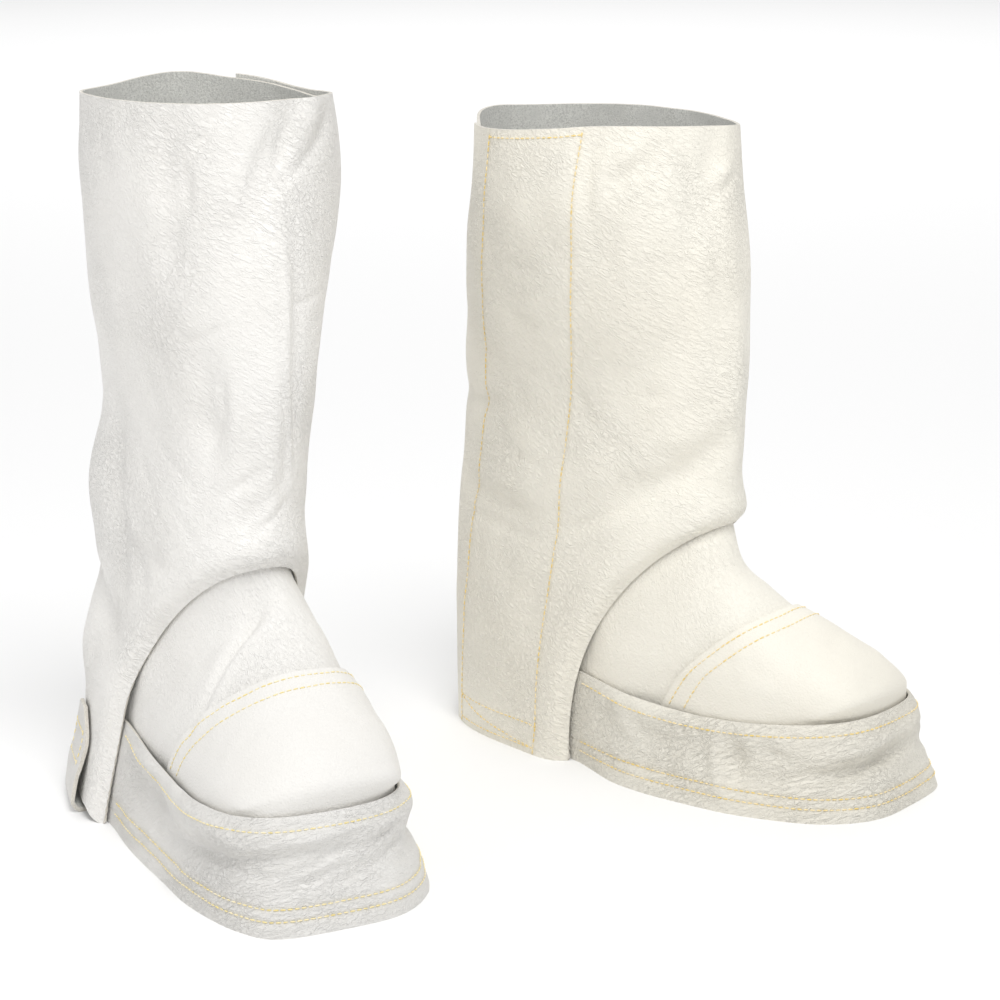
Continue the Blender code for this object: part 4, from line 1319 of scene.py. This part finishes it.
@dataclass
class Gaiter:
    """One gaiter: its five panels, and the thread that holds them."""

    placing: Placing
    folds: tuple
    rim: tuple
    creases: tuple
    skirt_creases: tuple
    upper_creases: tuple
    colour: tuple[float, float, float]
    soil: tuple[float, float, float]
    seed: int
    skirt_roll: float
    thread_colour: tuple
    thread_lift: float = 0.00018

    def __post_init__(self) -> None:
        """Works out the coarse grids once."""
        self.shaft_grid = shaft_places(self.rim)
        self.skirt_face = skirt_grid()
        self.vamp_face = vamp_grid()
        self.cap_face = cap_grid()
        self.strap_face = strap_grid()

    def shaft_point(self, u: Array, v: Array) -> Array:
        """Points of the shaft's outer face, with its folds, at rows and columns."""
        angle, height, part = np.moveaxis(sample_grid(self.shaft_grid, u, v), -1, 0)
        part = np.clip(part, 0.0, 1.0)
        creases = crease_rows(self.folds + self.creases, math.radians(1) * SHAFT_GIRTH_RADIUS)
        lift = crease_lift(creases, angle * SHAFT_GIRTH_RADIUS, height, FULL * SHAFT_GIRTH_RADIUS)
        lift += wave_lift(SHAFT_WAVES, ShaftCut.surface(angle, height), self.seed)
        lift *= fade_in(ShaftCut.distance_to_arch(angle, height), *FOLD_FADE)
        lift *= fade_in(height, *FOLD_FLOOR)
        free_angle = FREE_EDGE[0] + (FREE_EDGE[1] - FREE_EDGE[0]) * part
        lapped = 1 - smooth_step((angle - free_angle - LAP_MARGIN) / LAP_RELEASE)
        return ShaftCut.face(angle, height, lift - lapped * (LEATHER + LAP_GAP))

    def placket_row(self, edge_angle: float, rim_angle: float) -> Callable[[Array, Array], Array]:
        """A measure of how far places on the shaft are from an upright row of thread."""

        def away(u: Array, v: Array) -> Array:
            """The distance in metres, signed, turning outward."""
            angle, _, part = np.moveaxis(sample_grid(self.shaft_grid, u, v), -1, 0)
            row_angle = FULL + edge_angle + (rim_angle - edge_angle) * part
            return (angle - row_angle) * SHAFT_GIRTH_RADIUS

        return away

    @staticmethod
    def lifted(grid: Array, relief: Callable[[Array], Array]) -> Callable[[Array, Array], Array]:
        """A panel's point function from its coarse grid and a relief over it."""

        def point(u: Array, v: Array) -> Array:
            """Points of the panel's outer face at rows and columns."""
            u, v = np.broadcast_arrays(np.asarray(u, float), np.asarray(v, float))
            step = 0.05
            low_u, high_u = (np.clip(u + way, 0, grid.shape[0] - 1) for way in (-step, step))
            low_v, high_v = (np.clip(v + way, 0, grid.shape[1] - 1) for way in (-step, step))
            along = sample_grid(grid, high_u, v) - sample_grid(grid, low_u, v)
            across = sample_grid(grid, u, high_v) - sample_grid(grid, u, low_v)
            inward = np.cross(along, across)
            inward /= np.maximum(np.linalg.norm(inward, axis=-1, keepdims=True), 1e-12)
            base = sample_grid(grid, u, v)
            return base - inward * relief(base)[..., None]

        return point

    def skirt_relief(self, place: Array) -> Array:
        """The skirt's soft creases, flat at its hem and its seam."""
        forward, outward, height = np.moveaxis(place, -1, 0)
        around = np.arctan2(outward, forward - SKIRT_MIDDLE) * SKIRT_TURN_RADIUS
        lift = crease_lift(crease_rows(self.skirt_creases), around, height)
        for at_height, half_width, rise in SKIRT_ROLL:
            lift += self.skirt_roll * rise * np.exp(-(((height - at_height) / half_width) ** 2))
        lift += wave_lift(SKIRT_WAVES, place, self.seed + len(SHAFT_WAVES))
        fade = fade_in(height, *SKIRT_HEM_FADE) * fade_in(height, *SKIRT_SEAM_FADE)
        return lift * fade * fade_in(forward, *SKIRT_REAR_FADE)

    def upper_relief(self, place: Array) -> Array:
        """The upper's soft creases, flat where it meets the skirt and the shaft."""
        forward, outward, height = np.moveaxis(place, -1, 0)
        lift = crease_lift(crease_rows(self.upper_creases), outward, forward)
        lift += wave_lift(UPPER_WAVES, place, self.seed + len(SHAFT_WAVES) + len(SKIRT_WAVES))
        return lift * fade_in(height, *UPPER_FOOT_FADE) * fade_in(forward, *UPPER_ARCH_FADE)

    @staticmethod
    def no_relief(place: Array) -> Array:
        """A panel that lies plain."""
        return np.zeros(place.shape[:-1])

    def panels(self) -> dict[str, Panel]:
        """The gaiter's five panels."""
        side = self.placing.side
        hems = [self.hem_row(height) for height in HEM_ROWS]
        shape = self.shaft_grid.shape[:2]
        shaft = Panel(f"{side}_shaft", LEATHER, SHAFT_FACE, self.shaft_point, *shape, self.lap_rows())
        panels = {"shaft": shaft}
        for name, thickness, spacing, grid, relief, rows in (
            ("vamp", LEATHER, FOOT_FACE, self.vamp_face, self.upper_relief, []),
            ("toe_cap", LEATHER, FOOT_FACE, self.cap_face, self.upper_relief, []),
            ("skirt", LEATHER, FOOT_FACE, self.skirt_face, self.skirt_relief, hems),
            ("strap", STRAP_THICKNESS, STRAP_FACE, self.strap_face, self.no_relief, []),
        ):
            point = self.lifted(grid, relief)
            panels[name] = Panel(f"{side}_{name}", thickness, spacing, point, *grid.shape[:2], rows)
        return panels

    def lap_rows(self) -> list[Callable[[Array, Array], Array]]:
        """Measures from the two upright rows of thread on the shaft's lap."""
        return [
            self.placket_row(*FREE_ROW),
            self.placket_row(UNDER_EDGE[0] + HELD_ROW_INSET, UNDER_EDGE[1] + HELD_ROW_INSET),
        ]

    def hem_row(self, height: float) -> Callable[[Array, Array], Array]:
        """A measure of how far places on the skirt are over a row of thread."""
        return lambda u, v: sample_grid(self.skirt_face, u, v)[..., 2] - height

    def shaft_thread(self, panel: Panel) -> list[Array]:
        """The rows of thread on the shaft's lap: two upright, one at the top and three at the foot."""
        columns = np.linspace(0, panel.columns - 1, 600)

        def crossings(measure: Callable[[Array, Array], Array], rows: Array) -> Array:
            """The column numbers where a row of thread crosses the grid's rows."""
            gaps = measure(rows[:, None], columns[None, :])
            return np.array([np.interp(0.0, gap, columns) for gap in gaps])

        free, held = self.lap_rows()
        up = np.linspace(*LAP_ROW_SPAN, 160)
        lines = [panel.thread(up, crossings(measure, up), self.thread_lift) for measure in (free, held)]
        low, high = LAP_FOOT_ROWS
        for start, end in ((LAP_ROW_SPAN[1],) * 2, (low, low), (high, high), (low, high)):
            ends = np.array((start, end))
            held_column, free_column = crossings(held, ends)[0], crossings(free, ends)[1]
            share = np.linspace(*LAP_ROW_ENDS, 40)
            row = start + (end - start) * share
            column = held_column + (free_column - held_column) * share
            lines.append(panel.thread(row, column, self.thread_lift))
        return lines

    def skirt_thread(self, panel: Panel) -> list[Array]:
        """The two rows of thread over the skirt's hem, and the one under its seam."""
        column = np.linspace(SKIRT_ROW_ENDS, panel.columns - 1 - SKIRT_ROW_ENDS, 300)
        top = sample_grid(self.skirt_face, np.array(panel.rows - 1.0), column)[:, 2]
        lines = []
        for fall in (*(1 - height / top for height in HEM_ROWS), SEAM_ROW_DROP / top):
            row = panel.rows - 1 - np.interp(fall, SKIRT_FALL[:, 0], np.arange(panel.rows))
            lines.append(panel.thread(row, column, self.thread_lift))
        return lines

    def cap_thread(self, panel: Panel) -> list[Array]:
        """The two rows of thread along the toe cap's rear edge."""
        column = np.linspace(CAP_ROW_ENDS, panel.columns - 1 - CAP_ROW_ENDS, 120)
        return [panel.thread(np.array(row), column, self.thread_lift) for row in CAP_ROWS]

    def strap_thread(self, panel: Panel) -> list[Array]:
        """The box of thread on the strap's outer end."""
        (low, high), (first, last) = STRAP_BOX
        corners = np.array(((low, first), (low, last), (high, last), (high, first), (low, first)))
        share = np.linspace(0, 1, 12)[:, None]
        sides = [start + (end - start) * share for start, end in zip(corners[:-1], corners[1:])]
        return [panel.thread(side[:, 0], side[:, 1], self.thread_lift) for side in sides]

    def build(self) -> None:
        """Makes the panels and the thread, and hides the frame's own parts."""
        side = self.placing.side
        suede = SuedeFinish(f"{side}_suede", (0.84, 0.84, 0.80), (0.58, 0.58, 0.55)).build()
        edge = SuedeFinish(f"{side}_cut_edge", (0.80, 0.77, 0.70), (0.66, 0.63, 0.56)).build()
        thread = ThreadFinish(f"{side}_thread", self.thread_colour).build()
        panels = self.panels()
        for name, panel in panels.items():
            # The tone darkens a panel's colours; on the skirt and the toe cap it is painted shade.
            tone_and_shade, depth, turn = GRAINS[name]
            colours = [tuple(value * tone_and_shade for value in colour) for colour in (self.colour, self.soil)]
            finish = GrainFinish(f"{panel.node}_grain", *colours, len(panel.lines), depth, turn)
            grain = finish.build()
            body = panel.build(self.placing, [grain, suede, edge])
            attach(body, "root")
            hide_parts(panel.node)
            CUTS[panel.node].declare(body)
        rows = self.shaft_thread(panels["shaft"]) + self.skirt_thread(panels["skirt"])
        rows += self.cap_thread(panels["toe_cap"]) + self.strap_thread(panels["strap"])
        stitches = Stitching(f"{side}_stitches", seed=self.seed).build(self.placing, rows, thread)
        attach(stitches, "root")


@dataclass(frozen=True)
class Lamp:
    """A soft square light."""

    name: str
    place: tuple[float, float, float]
    target: tuple[float, float, float]
    size: float
    power: float

    def build(self) -> None:
        """Hangs the light, facing its target."""
        data = bpy.data.lights.new(self.name, "AREA")
        data.size = self.size
        data.energy = self.power
        lamp = bpy.data.objects.new(self.name, data)
        lamp.location = self.place
        ahead, aside, down = np.array(self.target) - np.array(self.place)
        turn = math.atan2(aside, ahead) - math.pi / 2
        lamp.rotation_euler = (math.atan2(math.hypot(ahead, aside), -down), 0.0, turn)
        bpy.context.scene.collection.objects.link(lamp)


@dataclass(frozen=True)
class Studio:
    """The pale floor, the soft lights and the camera."""

    camera_place: tuple[float, float, float] = (-0.0012, 0.0956 - 1.6, 0.56)
    camera_pitch: float = math.radians(14.3)
    lens: float = 100.8
    sensor: float = 36.0
    ambient: float = 0.6
    floor_side: float = 80.0
    floor_colour: tuple[float, float, float, float] = (0.93, 0.93, 0.93, 1.0)
    lamps: tuple[Lamp, ...] = (
        Lamp("key", (0.25, -1.1, 2.2), (0.0, 0.0, 0.18), 1.1, 30.0),
        Lamp("fill", (-1.3, -0.9, 1.0), (0.0, 0.0, 0.18), 1.0, 3.0),
        Lamp("back", (0.0, 4.2, 2.6), (0.0, 4.21, 0.0), 5.0, 76.0),
    )

    def build(self) -> None:
        """Sets the stage."""
        bpy.ops.mesh.primitive_plane_add(size=self.floor_side)
        floor = bpy.context.object
        floor.name = "floor"
        draft = NodeDraft("floor")
        draft.shader.inputs["Base Color"].default_value = self.floor_colour
        floor.data.materials.append(draft.finish(0.9, 0.1))
        world = bpy.data.worlds.new("studio")
        bpy.context.scene.world = world
        world.use_nodes = True
        background = world.node_tree.nodes["Background"]
        background.inputs["Color"].default_value = (1.0, 1.0, 1.0, 1.0)
        background.inputs["Strength"].default_value = self.ambient
        for lamp in self.lamps:
            lamp.build()
        camera_data = bpy.data.cameras.new("camera")
        camera_data.sensor_width = self.sensor
        camera_data.lens = self.lens
        camera = bpy.data.objects.new("camera", camera_data)
        bpy.context.scene.collection.objects.link(camera)
        camera.location = self.camera_place
        camera.rotation_euler = (math.pi / 2 - self.camera_pitch, 0.0, 0.0)
        bpy.context.scene.camera = camera
        bpy.context.scene.view_settings.view_transform = "Standard"


CUTS = {
    "right_shaft": Cut(0.580, 0.382, 0.194, Hold.WRAPPED),
    "right_vamp": Cut(0.307, 0.100, 0.021, Hold.SHAPED, ("right_shaft",)),
    "right_toe_cap": Cut(0.223, 0.108, 0.0155, Hold.SHAPED, ("right_vamp",)),
    "right_skirt": Cut(0.513, 0.058, 0.026, Hold.HANGING, ("right_vamp", "right_toe_cap")),
    "right_strap": Cut(0.050, 0.223, 0.0093, Hold.WRAPPED, ("right_shaft",)),
    "left_shaft": Cut(0.580, 0.409, 0.207, Hold.WRAPPED),
    "left_vamp": Cut(0.319, 0.102, 0.022, Hold.SHAPED, ("left_shaft",)),
    "left_toe_cap": Cut(0.229, 0.109, 0.0162, Hold.SHAPED, ("left_vamp",)),
    "left_skirt": Cut(0.513, 0.062, 0.028, Hold.HANGING, ("left_vamp", "left_toe_cap")),
    "left_strap": Cut(0.050, 0.229, 0.0095, Hold.WRAPPED, ("left_shaft",)),
}

GAITERS = (
    Gaiter(
        Placing("right", -1.0, math.radians(38), (0.0660, 0.1205), 1.00),
        RIGHT_FOLDS, RIGHT_RIM, RIGHT_CREASES, RIGHT_SKIRT_CREASES, RIGHT_UPPER_CREASES,
        (0.93, 0.90, 0.81), (0.89, 0.85, 0.75), 11, 0.4, (0.90, 0.66, 0.16),
    ),
    Gaiter(
        Placing("left", 1.0, math.radians(62), (-0.1763, 0.0002), 1.07),
        LEFT_FOLDS, LEFT_RIM, LEFT_CREASES, LEFT_SKIRT_CREASES, LEFT_UPPER_CREASES,
        (0.90, 0.885, 0.855), (0.86, 0.84, 0.80), 23, 1.0, (0.90, 0.74, 0.28),
    ),
)


def main() -> None:
    """Builds the studio and both gaiters."""
    logging.basicConfig(level=logging.INFO)
    Studio().build()
    for gaiter in GAITERS:
        gaiter.build()


if __name__ == "__main__":
    main()
